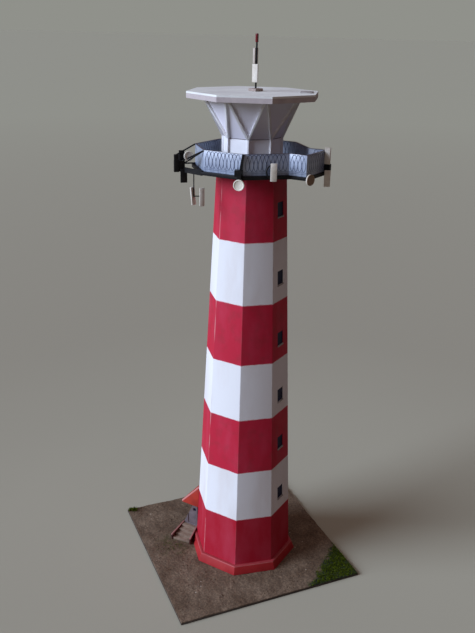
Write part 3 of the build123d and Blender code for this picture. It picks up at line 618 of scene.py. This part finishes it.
# Glossier than card mostly is, so that the pale railing shines toward the window
RAILING_GLOSS = {"Specular_IOR_Level": 1.0, "Coat_Weight": 1.0, "Coat_Roughness": 0.45, "Coat_IOR": 1.8}
FINISHES = {
    "red": (red_paint, "red_poster_paint", POSTER_PAINT),
    "plinth": (plinth_paint, "orange_red_poster_paint", POSTER_PAINT),
    "white": (white_card, "white_card", {"Roughness": 0.6}),
    "lantern": (lantern_card, "lantern_card", {"Roughness": 0.6}),
    "railing": (railing_card, "printed_railing_card", {"Roughness": 0.45, **RAILING_GLOSS}),
    "earth": (earth, "stained_sand", {"Roughness": 0.95}),
    "grass": (grass, "fibre_flock", {"Roughness": 1.0, "Specular_IOR_Level": 0.1}),
    "glass": (glass, "dark_window_film", {"Roughness": 0.5, "Specular_IOR_Level": 0.1}),
    "black": (black_paint, "black_enamel", {"Roughness": 0.55, "Specular_IOR_Level": 0.25}),
    "lamp": (lamp, "red_lacquer", {"Roughness": 0.2, "Coat_Weight": 0.6, "Coat_Roughness": 0.1}),
}

# Plain cards and paints: name, roughness, base tone, second tone, size of the mottling,
# and the tone past a reach in one direction
ROOF_EDGE = ("#D58A84", (0, -1, 0), -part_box("porch_roof")[0].y - 0.15 * MM)
# The bay dish's face is painted brown: painted shade, as it faces away from the window
DISH_FACE_SHADE = ("#8F7A63", toward(BAY_DISH_WAY, 1), BAY_DISH_REACH)
STRINGER_TOP = ("#96655E", (0, -0.28, 0.96), 9.9 * MM)
PLAIN_FINISHES = {
    # Brushed orange-red paint: matt, blotched darker; pink on the roof's cut edge
    "porch": ("porch_poster_paint", 0.62, "porch", "#9A2A1E", 5 * MM),
    "porch_roof": ("porch_roof_paint", 0.62, "porch", "#9A2A1E", 5 * MM, ROOF_EDGE),
    # Smooth white card: matt, a little soiled; the rim is painted grey as painted shade
    "rib": ("white_rib_card", 0.6, "white", "#DDD8D6", 6 * MM),
    "roof": ("roof_card", 0.6, "#F1F4EE", "#E2E3DF", 9 * MM),
    "rim": ("greyed_rim_card", 0.6, "#C4BAB7", "#B3A8AA", 4 * MM),
    # Printing ink: dark blue grey, with a faint sheen
    "ink": ("railing_ink", 0.5, "ink", "#57637F", 2 * MM),
    # Pressed millboard: dark brown, quite dull
    "board": ("brown_millboard", 0.85, "#3C332C", "#50463C", 3 * MM),
    # Uncoated cards of the aerials and dishes: cream to brown, dull
    "cream": ("cream_card", 0.65, "cream", "#CDC3B2", 2 * MM),
    "drab": ("drab_card", 0.65, "#C6BBAE", "#B5A99C", 2 * MM),
    "base": ("grey_base_card", 0.65, "#A3948B", "#8F8078", 2 * MM),
    # Its face is painted brown as painted shade
    "dish": ("brown_faced_card", 0.6, "cream", "#CDC3B2", 2 * MM, DISH_FACE_SHADE),
    # Enamel on card: near white, with a soft shine
    "bright": ("enamelled_white_card", 0.35, "#FBF6E6", "#F0EAD8", 2 * MM),
    # Cut and printed cards of the windows, door and steps: greyed and scuffed
    "sill": ("grey_sill_card", 0.6, "#AAA6A4", "#948D88", 1.5 * MM),
    # The door's card is painted darker than its slate as painted shade under the porch roof
    "door": ("slate_door_card", 0.55, "#675A5C", "#564B4E", 2.5 * MM),
    "tread": ("pinkish_step_card", 0.7, "#8B7766", "#75614F", 1.8 * MM),
    "stringer": ("brown_red_card", 0.6, "#3A1510", "#54241E", 2 * MM, STRINGER_TOP),
}
MATERIALS = {}


class LIGHTHOUSE_OT_materials(bpy.types.Operator):
    """Mix the paints, cards and scatters"""

    bl_idname = "lighthouse.materials"
    bl_label = "Materials"

    def execute(self, context):
        for key, (paint, name, numbers) in FINISHES.items():
            MATERIALS[key], *canvas = new_material(name, **numbers)
            paint(*canvas)
        for key, (name, roughness, *tones) in PLAIN_FINISHES.items():
            MATERIALS[key], *canvas = new_material(name, Roughness=roughness)
            plain_card(*canvas, *tones)
        return {"FINISHED"}


# --------------------------------------------------------------------- pieces


class LIGHTHOUSE_OT_board(bpy.types.Operator):
    """Cut the plain board that carries the ground cover"""

    bl_idname = "lighthouse.board"
    bl_label = "Board"

    def execute(self, context):
        thick = sizes().board
        board = begin(
            "base_board_card",
            bpy.ops.mesh.primitive_cube_add,
            size=1,
            location=(BOARD_CENTRE.x, BOARD_CENTRE.y, thick / 2),
            rotation=(0, 0, BOARD_TURN),
            scale=(BOARD_SIDE, BOARD_SIDE, thick),
        )
        pick(board, "EDGE")
        bpy.ops.mesh.bevel(offset=CUT_EDGE, segments=2, affect="EDGES")
        settle(board, "board", ["base_board"])
        return {"FINISHED"}


class LIGHTHOUSE_OT_ground(bpy.types.Operator):
    """Spread the lumpy ground cover and its loose stones over the board"""

    bl_idname = "lighthouse.ground"
    bl_label = "Ground cover"

    def execute(self, context):
        side = BOARD_SIDE - 0.4 * MM
        level = BOARD_TOP - 0.12 * MM
        cover = begin(
            "ground_cover",
            bpy.ops.mesh.primitive_grid_add,
            x_subdivisions=COVER_CELLS,
            y_subdivisions=COVER_CELLS,
            size=side,
            location=(BOARD_CENTRE.x, BOARD_CENTRE.y, level),
            rotation=(0, 0, BOARD_TURN),
        )
        for name, size, height in (("lumps", 5 * MM, sizes().lump), ("grit", 0.9 * MM, sizes().grit)):
            pattern = bpy.data.textures.new(name, "CLOUDS")
            pattern.noise_scale = size
            pattern.noise_depth = 1
            shaped(cover, "DISPLACE", texture=pattern, direction="Z", strength=height, mid_level=0.5)
        rim = side / 2 - 0.01 * MM
        turn_back = Matrix.Rotation(-BOARD_TURN, 3, "Z")

        def at_rim(middle, way):
            place = turn_back @ (middle - Vector((BOARD_CENTRE.x, BOARD_CENTRE.y, 0)))
            return max(abs(place.x), abs(place.y)) > rim

        # The cover's edge goes down to the board's level, and a face closes it below
        pick(cover, "EDGE", at_rim)
        bpy.ops.mesh.extrude_edges_move(TRANSFORM_OT_translate={"value": (0, 0, -0.2 * MM)})
        bpy.ops.transform.resize(value=(1, 1, 0), center_override=(0, 0, sizes().board))
        bpy.ops.mesh.edge_face_add()
        bpy.ops.mesh.select_all(action="SELECT")
        bpy.ops.mesh.normals_make_consistent(inside=False)
        settle(cover, "earth", smooth=50)

        draw = random.Random(11)
        stone_settings = {"subdivisions": 1, "radius": sizes().stone}
        stone = begin("stone", bpy.ops.mesh.primitive_ico_sphere_add, **stone_settings)
        pick(stone, "FACE", lambda middle, normal: normal.z > 0.5)
        bpy.ops.transform.translate(value=(0, 0, -0.12 * MM))
        bpy.ops.transform.resize(value=(0.8, 1.1, 1.0))
        alone(stone)
        stones = []
        while len(stones) < sizes().stones:
            along, across = (draw.uniform(-0.49, 0.49) * BOARD_SIDE for _ in range(2))
            place = on_board(along, across, level + draw.uniform(0.0, 0.25) * MM)
            by_porch = PORCH_REACH < place.x < 0 and abs(place.y) < PORCH_HALF_WIDTH
            if by_porch or hypot(place.x, place.y) < PLINTH_CLEARANCE:
                continue
            size = draw.uniform(0.45, 1.25)
            turn = spin(draw.uniform(0, 2 * pi)) @ spin(draw.uniform(-0.5, 0.5), "X")
            stones.append(set_down(stone, place, turn, size))
        bpy.data.objects.remove(stone)
        settle(joined(stones, "ground_stones"), "earth", smooth=50)
        return {"FINISHED"}


class LIGHTHOUSE_OT_grass(bpy.types.Operator):
    """Plant the grassed corner, the small tuft in the far corner and the sprigs by the steps"""

    bl_idname = "lighthouse.grass"
    bl_label = "Grass"

    def execute(self, context):
        draw = random.Random(23)
        height = sizes().blade
        blade_settings = {"vertices": 3, "radius1": 0.16 * MM, "radius2": 0, "depth": height}
        blades = []
        for number in range(BLADES):
            blade = begin("blade", bpy.ops.mesh.primitive_cone_add, **blade_settings)
            lean = spin(number * 2 * pi / BLADES) @ spin(draw.uniform(0.25, 0.9), "Y")
            rise = Matrix.Translation((0, 0, height / 2 * draw.uniform(0.7, 1.0)))
            blade.data.transform(lean @ rise)
            blades.append(blade)
        tuft = joined(blades, "tuft")
        pick(tuft, "FACE", lambda middle, normal: middle.z > 0.6 * height)
        bpy.ops.transform.translate(value=(0.15 * MM, 0, 0))
        alone(tuft)
        half = BOARD_SIDE / 2
        tufts = []
        while len(tufts) < sizes().tufts:
            along, across = (half - draw.uniform(0.006, 0.62) * half * scale for scale in (1.0, 1.1))
            if grass_share(along, across) > 0.98 + draw.uniform(-0.22, 0.08):
                continue
            # The very corner is mostly bare
            bare = hypot(half - along, half - across) < 3.5 * MM
            if bare and draw.random() < 0.8:
                continue
            place = on_board(along, across, BOARD_TOP - 0.15 * MM)
            turn = spin(draw.uniform(0, 2 * pi))
            tufts.append(set_down(tuft, place, turn, draw.uniform(0.45, 0.95)))
        settle(joined(tufts, "grass_corner"), "grass")
        sprigs = []
        for centre, spread, count, low, high in (
            (TUFT_CORNER, 2.4 * MM, 34, 0.7, 1.5),
            (STEPS_FOOT, 6.0 * MM, 26, 0.3, 0.6),
        ):
            for _ in range(count):
                along, across = (value + draw.gauss(0, 0.45) * spread for value in centre)
                along, across = (max(-half + 0.4 * MM, value) for value in (along, across))
                place = on_board(along, across, BOARD_TOP - 0.1 * MM)
                turn = spin(draw.uniform(0, 2 * pi))
                sprigs.append(set_down(tuft, place, turn, draw.uniform(low, high)))
        bpy.data.objects.remove(tuft)
        settle(joined(sprigs, "grass_tufts"), "grass")
        return {"FINISHED"}


class LIGHTHOUSE_OT_shaft(bpy.types.Operator):
    """Fold the seven bands of the shaft and cut their windows"""

    bl_idname = "lighthouse.shaft"
    bl_label = "Shaft bands"

    def execute(self, context):
        half_width = WINDOW_SIZE[0] / 2
        for number, band in enumerate(BANDS):
            low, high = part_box(band)[0].z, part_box(band)[1].z
            piece = begin(
                f"{band}_card",
                bpy.ops.mesh.primitive_cone_add,
                vertices=SIDES,
                radius1=shaft_radius(low),
                radius2=shaft_radius(high),
                depth=high - low,
                end_fill_type="NOTHING",
                location=(0, 0, (low + high) / 2),
                rotation=(0, 0, HALF_TURN),
            )
            for sill in WINDOW_SILLS:
                if not low < sill < high:
                    continue
                head = sill + WINDOW_SIZE[1]
                cuts = [((0, side * half_width, 0), (0, 1, 0)) for side in (-1, 1)]
                cuts += [((0, 0, level), (0, 0, 1)) for level in (sill, head)]
                for point, way in cuts:
                    pick(piece, "FACE", lambda middle, normal: abs(normal.x) > 0.9)
                    bpy.ops.mesh.bisect(plane_co=point, plane_no=way)

                def in_window(middle, normal):
                    return abs(normal.x) > 0.9 and abs(middle.y) < half_width and sill < middle.z < head

                pick(piece, "FACE", in_window)
                bpy.ops.mesh.delete(type="FACE")
            shaped(piece, "SOLIDIFY", thickness=BAND_CARD, offset=-1, use_even_offset=True)

            def at_fold(middle, way):
                outside = hypot(middle.x, middle.y) > shaft_radius(middle.z) - 0.3 * MM
                return abs(way.z) > 0.9 and outside

            pick(piece, "EDGE", at_fold)
            bpy.ops.mesh.bevel(offset=sizes().fold, segments=3, affect="EDGES")
            finish = "white" if number % 2 else "red"
            settle(piece, finish, [band])
        return {"FINISHED"}


class LIGHTHOUSE_OT_porch(bpy.types.Operator):
    """Trim the plinth, the porch and its steps, and paint the door's pane and the sills"""

    bl_idname = "lighthouse.porch"
    bl_label = "Porch and steps"

    def execute(self, context):
        trim = sizes().trim
        for node, finish, slot, width in (
            ("plinth", "plinth", "orange_card", 0.3 * MM),
            ("porch_roof", "porch_roof", "red_card", trim),
            ("porch_gables", "porch", "orange_card", trim),
            ("porch_walls", "door", "door_card", trim),
            ("porch_door", "door", "door_card", trim / 2),
            ("step_treads", "tread", "cream_card", trim),
            ("step_stringers", "stringer", "orange_card", trim),
        ):
            trimmed(node, finish, width)
        painted("door_pane", "glass")
        painted("window_sills", "sill")
        return {"FINISHED"}


class LIGHTHOUSE_OT_windows(bpy.types.Operator):
    """Set the dark film into the window openings, just behind the wall's face"""

    bl_idname = "lighthouse.windows"
    bl_label = "Windows"

    def execute(self, context):
        width, height = WINDOW_SIZE[0], WINDOW_SIZE[1] - SILL_THICKNESS
        scale = (FILM_THICKNESS, width, height)
        film = begin("film", bpy.ops.mesh.primitive_cube_add, size=1, scale=scale)
        pick(film, "FACE", lambda middle, normal: normal.x > 0.9)
        bpy.ops.mesh.inset(thickness=FILM_BORDER)
        bpy.ops.transform.translate(value=(-FILM_DENT, 0, 0))
        alone(film)
        lean = spin(-atan2(SHAFT_TAPER * FLAT_SHARE, 1), "Y")
        films = []
        for sill in WINDOW_SILLS:
            middle = sill + SILL_THICKNESS + height / 2
            reach = shaft_radius(middle) * FLAT_SHARE - FILM_SETBACK - FILM_THICKNESS / 2
            place = Matrix.Translation((reach, 0, middle)) @ lean
            films += [copied(film, spin(turn) @ place) for turn in (0, pi)]
        bpy.data.objects.remove(film)
        settle(joined(films, "window_film"), "glass", ["window_panes"])
        return {"FINISHED"}


class LIGHTHOUSE_OT_gallery(bpy.types.Operator):
    """Trim the gallery floor and the railing card"""

    bl_idname = "lighthouse.gallery"
    bl_label = "Gallery"

    def execute(self, context):
        trimmed("gallery_floor", "black", 0.35 * MM, 3)
        for node in ("parapet", "bay_walls"):
            trimmed(node, "railing", sizes().trim)
        return {"FINISHED"}


class LIGHTHOUSE_OT_railing(bpy.types.Operator):
    """Lay the ovals, their arches and the two lines on both faces of the railing card"""

    bl_idname = "lighthouse.railing"
    bl_label = "Railing lines"

    def execute(self, context):
        pitch, line, proud = sizes().oval_pitch, sizes().oval_line, sizes().line_proud
        tall = (OVAL_HEAD - OVAL_FOOT) / 2
        wide = 0.5 * pitch + line / 2

        def ring(name, tall, narrowings):
            """A flat ring whose upper part is drawn in step by step."""
            piece = begin(name, bpy.ops.mesh.primitive_circle_add, vertices=24, radius=1.0)
            for above, share in narrowings:
                pick(piece, "VERT", lambda place, normal: place.y > above)
                bpy.ops.transform.resize(value=(share, 1, 1), center_override=(0, 0, 0))
            pick(piece, "EDGE")
            bpy.ops.transform.resize(value=(wide, tall, 1), center_override=(0, 0, 0))
            bpy.ops.mesh.extrude_edges_move()
            inner = ((wide - line) / wide, (tall - line) / tall, 1)
            bpy.ops.transform.resize(value=inner, center_override=(0, 0, 0))
            return piece

        oval = ring("oval", tall, ((0.05, 0.85), (0.4, 0.8), (0.65, 0.75)))
        arch = ring("arch", ARCH_HEAD - ARCH_FOOT, ())
        pick(arch, "VERT", lambda place, normal: place.y < -0.01 * MM)
        bpy.ops.mesh.delete(type="VERT")
        for piece in (oval, arch):
            shaped(piece, "SOLIDIFY", thickness=proud, offset=1)
        bar = begin("bar", bpy.ops.mesh.primitive_cube_add, size=1)
        pick(bar, "EDGE", lambda middle, way: abs(way.x) > 0.9 and middle.z > 0)
        bpy.ops.mesh.bevel(offset=0.2, segments=1, affect="EDGES")
        alone(bar)
        upright = spin(pi / 2) @ spin(pi / 2, "X")
        lines = []

        def panel(distance, start, end, inside, side):
            """Lay the lines on one wall that faces +X, and move them to the wall's own side."""
            count = int((end - start - 0.4 * pitch) / pitch)
            middle = (start + end) / 2
            first = middle - (count - 1) * pitch / 2
            out = distance - PARAPET_CARD - proud / 2 if inside else distance + proud / 2

            def lay(piece, across, level, shape):
                place = Matrix.Translation((out, across, level))
                lines.append(copied(piece, side @ place @ shape))

            for number in range(count):
                lay(oval, first + number * pitch, OVAL_FOOT + tall, upright)
                if number + 1 < count:
                    lay(arch, first + (number + 0.5) * pitch, ARCH_FOOT, upright)
            for level in BAR_LEVELS:
                strip = Matrix.Diagonal((proud, end - start, BAR_HEIGHT, 1))
                lay(bar, middle, PARAPET[0].z + level, strip)

        reach = PARAPET_FLAT * sin(HALF_TURN) / cos(HALF_TURN)
        for inside, gap in ((False, 0.15 * MM), (True, PARAPET_CARD * 0.6)):
            numbers = [number for number in range(1, SIDES) if inside or number != BLANK_SIDE]
            sides = [spin(number * SIDE_TURN) for number in numbers]
            for side in (*sides, Matrix.Translation((BAY[1].x - PARAPET_FLAT, 0, 0))):
                panel(PARAPET_FLAT, -reach + gap, reach - gap, inside, side)
            near, far = PARAPET_FLAT + 0.1 * MM, BAY[1].x - gap
            panel(BAY[1].y, -far, -near, inside, spin(pi / 2))
            panel(BAY[1].y, near, far, inside, spin(-pi / 2))
        for piece in (oval, arch, bar):
            bpy.data.objects.remove(piece)
        settle(joined(lines, "railing_lines"), "ink")
        return {"FINISHED"}


class LIGHTHOUSE_OT_lantern(bpy.types.Operator):
    """Trim the lantern's ribs and hatch, and paint its drum, cone and roof"""

    bl_idname = "lighthouse.lantern"
    bl_label = "Lantern and roof"

    def execute(self, context):
        for node in ("drum_ribs", "cone_ribs"):
            trimmed(node, "rib", sizes().trim)
        for node in ("lantern_drum", "lantern_cone"):
            painted(node, "lantern")
        painted("roof_plate", "roof")
        # The rim's grey is painted shade
        painted("roof_rim", "rim")
        trimmed("roof_hatch", "sill", sizes().trim)
        return {"FINISHED"}


class LIGHTHOUSE_OT_mast(bpy.types.Operator):
    """Trim the mast's base, and paint its rod and lamp"""

    bl_idname = "lighthouse.mast"
    bl_label = "Mast"

    def execute(self, context):
        trimmed("mast_base", "base", 0.18 * MM)
        painted("mast_rod", "black")
        painted("mast_lamp", "lamp")
        return {"FINISHED"}


class LIGHTHOUSE_OT_aerials(bpy.types.Operator):
    """Trim the flat aerials, and paint their posts and wires"""

    bl_idname = "lighthouse.aerials"
    bl_label = "Aerials"

    def execute(self, context):
        for node, finish, slot in (
            ("mast_lower_aerial", "cream", "cream_card"),
            ("mast_upper_aerial", "drab", "cream_card"),
            ("side_aerial", "cream", "cream_card"),
            ("bay_aerials", "cream", "cream_card"),
            ("hanging_aerials", "cream", "cream_card"),
            ("frame_aerials", "black", "black_card"),
        ):
            trimmed(node, finish, sizes().trim)
        for node in ("corner_post", "side_bracket", "bay_pole", "aerial_frame", "hanging_rod"):
            painted(node, "black")
        return {"FINISHED"}


class LIGHTHOUSE_OT_dishes(bpy.types.Operator):
    """Turn the three small dishes"""

    bl_idname = "lighthouse.dishes"
    bl_label = "Dishes"

    def execute(self, context):
        lip = sizes().dish_lip
        for node, depth, face, finish in (
            ("corner_dish", 1.0 * MM, radians(-67.5), "bright"),
            ("bay_dish", 0.9 * MM, BAY_DISH_WAY, "dish"),
            ("frame_dish", 1.0 * MM, radians(-45), "cream"),
        ):
            low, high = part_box(node)
            radius = (high.z - low.z) / 2
            settings = {"vertices": 48, "radius": radius, "depth": depth}
            dish = begin(f"{node}_card", bpy.ops.mesh.primitive_cylinder_add, **settings)
            # The face is hollowed in shallow rings inside its lip
            pick(dish, "FACE", lambda middle, normal: normal.z > 0.9)
            bpy.ops.mesh.inset(thickness=lip)
            bpy.ops.mesh.extrude_region_move(TRANSFORM_OT_translate={"value": (0, 0, -0.25 * depth)})
            bpy.ops.transform.resize(value=(0.88, 0.88, 1))
            for _ in range(3):
                bpy.ops.mesh.inset(thickness=0.22 * radius)
                bpy.ops.transform.translate(value=(0, 0, -0.06 * depth))

            def at_rim(middle, way):
                return abs(way.z) < 0.1 and hypot(middle.x, middle.y) > radius - 0.5 * lip

            pick(dish, "EDGE", at_rim)
            bpy.ops.mesh.bevel(offset=CUT_EDGE, segments=2, affect="EDGES")
            alone(dish)
            aim = toward(face, 1).to_track_quat("Z", "Y").to_matrix().to_4x4()
            dish.matrix_world = Matrix.Translation((low + high) / 2) @ aim
            settle(dish, finish, [node])
        return {"FINISHED"}


# ---------------------------------------------------------------------- stage


def lay_floor():
    """A wide floor of matt paper, whose tone changes with the distance from the model; its darker
    middle ring is painted shade.
    """
    floor = begin("studio_floor", bpy.ops.mesh.primitive_plane_add, size=FLOOR_SIDE)
    material, tree, shader, coords = new_material("matt_floor_paper", Roughness=0.9)
    darker = tuple(0.93 * part for part in tint("floor")[:3]) + (1.0,)
    coats = [(cloud(tree, coords, 0.35, 0.3, 0.7, 2.0), darker)]
    away = add_node(tree, "VectorMath", [coords], operation="LENGTH").outputs["Value"]
    for tone, (start, end) in FLOOR_RINGS.items():
        share = add_node(tree, "MapRange", {"Value": away, "From Min": start, "From Max": end})
        coats.append((share, tone))
    surface(tree, shader, coated(tree, "floor", *coats))
    floor.data.materials.append(material)
    # The world's lower half lights the model in the floor's place
    floor.visible_diffuse = False


def light_room(ambient):
    """A dim room above, a table below that is paler toward the window, and a plain wall behind."""
    world = bpy.data.worlds.new("studio_room")
    bpy.context.scene.world = world
    world.use_nodes = True
    tree = world.node_tree
    tree.nodes.clear()
    way = add_node(tree, "TexCoord").outputs["Generated"]
    climb = add_node(tree, "SeparateXYZ", [way]).outputs[2]
    below = add_node(tree, "MapRange", {"Value": climb, "From Min": 0.08, "From Max": -0.08})
    facing = [way, toward(WINDOW_WAY, 1)]
    facing = add_node(tree, "VectorMath", facing, operation="DOT_PRODUCT").outputs["Value"]
    lit = add_node(tree, "MapRange", {"Value": facing, "From Min": -0.6, "From Max": 1.0})
    table = coated(tree, "#3C2E28", (lit, "#92918C"))
    room = coated(tree, "#5C4646", (below, table))
    around = add_node(tree, "Background", {"Color": room, "Strength": ambient})
    wall = add_node(tree, "Background", {"Color": "#90918B", "Strength": 1.0})
    seen = add_node(tree, "LightPath").outputs["Is Camera Ray"]
    mixed = add_node(tree, "MixShader", [seen, around, wall])
    add_node(tree, "OutputWorld", [mixed])


def hang_light(name, power, angle, height, spread, code):
    """A distant light with a spread and a colour, from a direction and a height in degrees."""
    alone()
    bpy.ops.object.light_add(type="SUN", location=toward(angle, 1, 1))
    light = bpy.context.object
    light.name = name
    light.data.energy = power
    light.data.angle = radians(spread)
    light.data.color = linear(code)[:3]
    back = toward(angle, cos(radians(height)), sin(radians(height)))
    light.rotation_euler = back.to_track_quat("Z", "Y").to_euler()


def place_camera(stage):
    """The camera, from the sidebar's values."""
    bpy.ops.object.camera_add(location=stage.camera_place)
    camera = bpy.context.object
    camera.name = "camera"
    camera.data.lens = stage.lens
    camera.data.sensor_width = 36
    camera.data.clip_start = 0.01
    gaze = Vector(stage.camera_aim) - Vector(stage.camera_place)
    roll = Quaternion((0, 0, 1), stage.camera_roll)
    camera.rotation_mode = "QUATERNION"
    camera.rotation_quaternion = gaze.to_track_quat("-Z", "Y") @ roll
    bpy.context.scene.camera = camera


class LIGHTHOUSE_OT_stage(bpy.types.Operator):
    """Lay the floor, hang the lights and place the camera"""

    bl_idname = "lighthouse.stage"
    bl_label = "Stage"

    def execute(self, context):
        stage = context.scene.lighthouse_stage
        lay_floor()
        light_room(stage.ambient)
        hang_light("window_light", stage.key, WINDOW_WAY, height=24, spread=36, code="#D9E6FF")
        hang_light("ceiling_light", stage.fill, radians(-90), height=85, spread=120, code="#FFFFFF")
        place_camera(stage)
        context.scene.view_settings.view_transform = "Standard"
        return {"FINISHED"}


class LIGHTHOUSE_PT_build(bpy.types.Panel):
    """Sizes, colours and steps of the card lighthouse"""

    bl_idname = "LIGHTHOUSE_PT_build"
    bl_label = "Card lighthouse"
    bl_space_type = "VIEW_3D"
    bl_region_type = "UI"
    bl_category = "Lighthouse"

    def draw(self, context):
        for key in GROUPS:
            group, box = getattr(context.scene, key), self.layout.box()
            for name in group.__annotations__:
                box.prop(group, name)
        for operator in OPERATORS:
            self.layout.operator(operator.bl_idname)


OPERATORS = (
    LIGHTHOUSE_OT_materials,
    LIGHTHOUSE_OT_board,
    LIGHTHOUSE_OT_ground,
    LIGHTHOUSE_OT_grass,
    LIGHTHOUSE_OT_shaft,
    LIGHTHOUSE_OT_porch,
    LIGHTHOUSE_OT_windows,
    LIGHTHOUSE_OT_gallery,
    LIGHTHOUSE_OT_railing,
    LIGHTHOUSE_OT_lantern,
    LIGHTHOUSE_OT_mast,
    LIGHTHOUSE_OT_aerials,
    LIGHTHOUSE_OT_dishes,
    LIGHTHOUSE_OT_stage,
)
GROUPS = {
    "lighthouse_sizes": LIGHTHOUSE_PG_sizes,
    "lighthouse_colours": LIGHTHOUSE_PG_colours,
    "lighthouse_stage": LIGHTHOUSE_PG_stage,
}


def register():
    for name, group in GROUPS.items():
        bpy.utils.register_class(group)
        setattr(bpy.types.Scene, name, PointerProperty(type=group))
    for item in (*OPERATORS, LIGHTHOUSE_PT_build):
        bpy.utils.register_class(item)


def unregister():
    for item in (LIGHTHOUSE_PT_build, *reversed(OPERATORS)):
        bpy.utils.unregister_class(item)
    for name, group in GROUPS.items():
        delattr(bpy.types.Scene, name)
        bpy.utils.unregister_class(group)


def main():
    """Run every step in order."""
    register()
    for operator in OPERATORS:
        getattr(bpy.ops.lighthouse, operator.bl_idname.split(".")[1])()


if __name__ == "__main__":
    main()
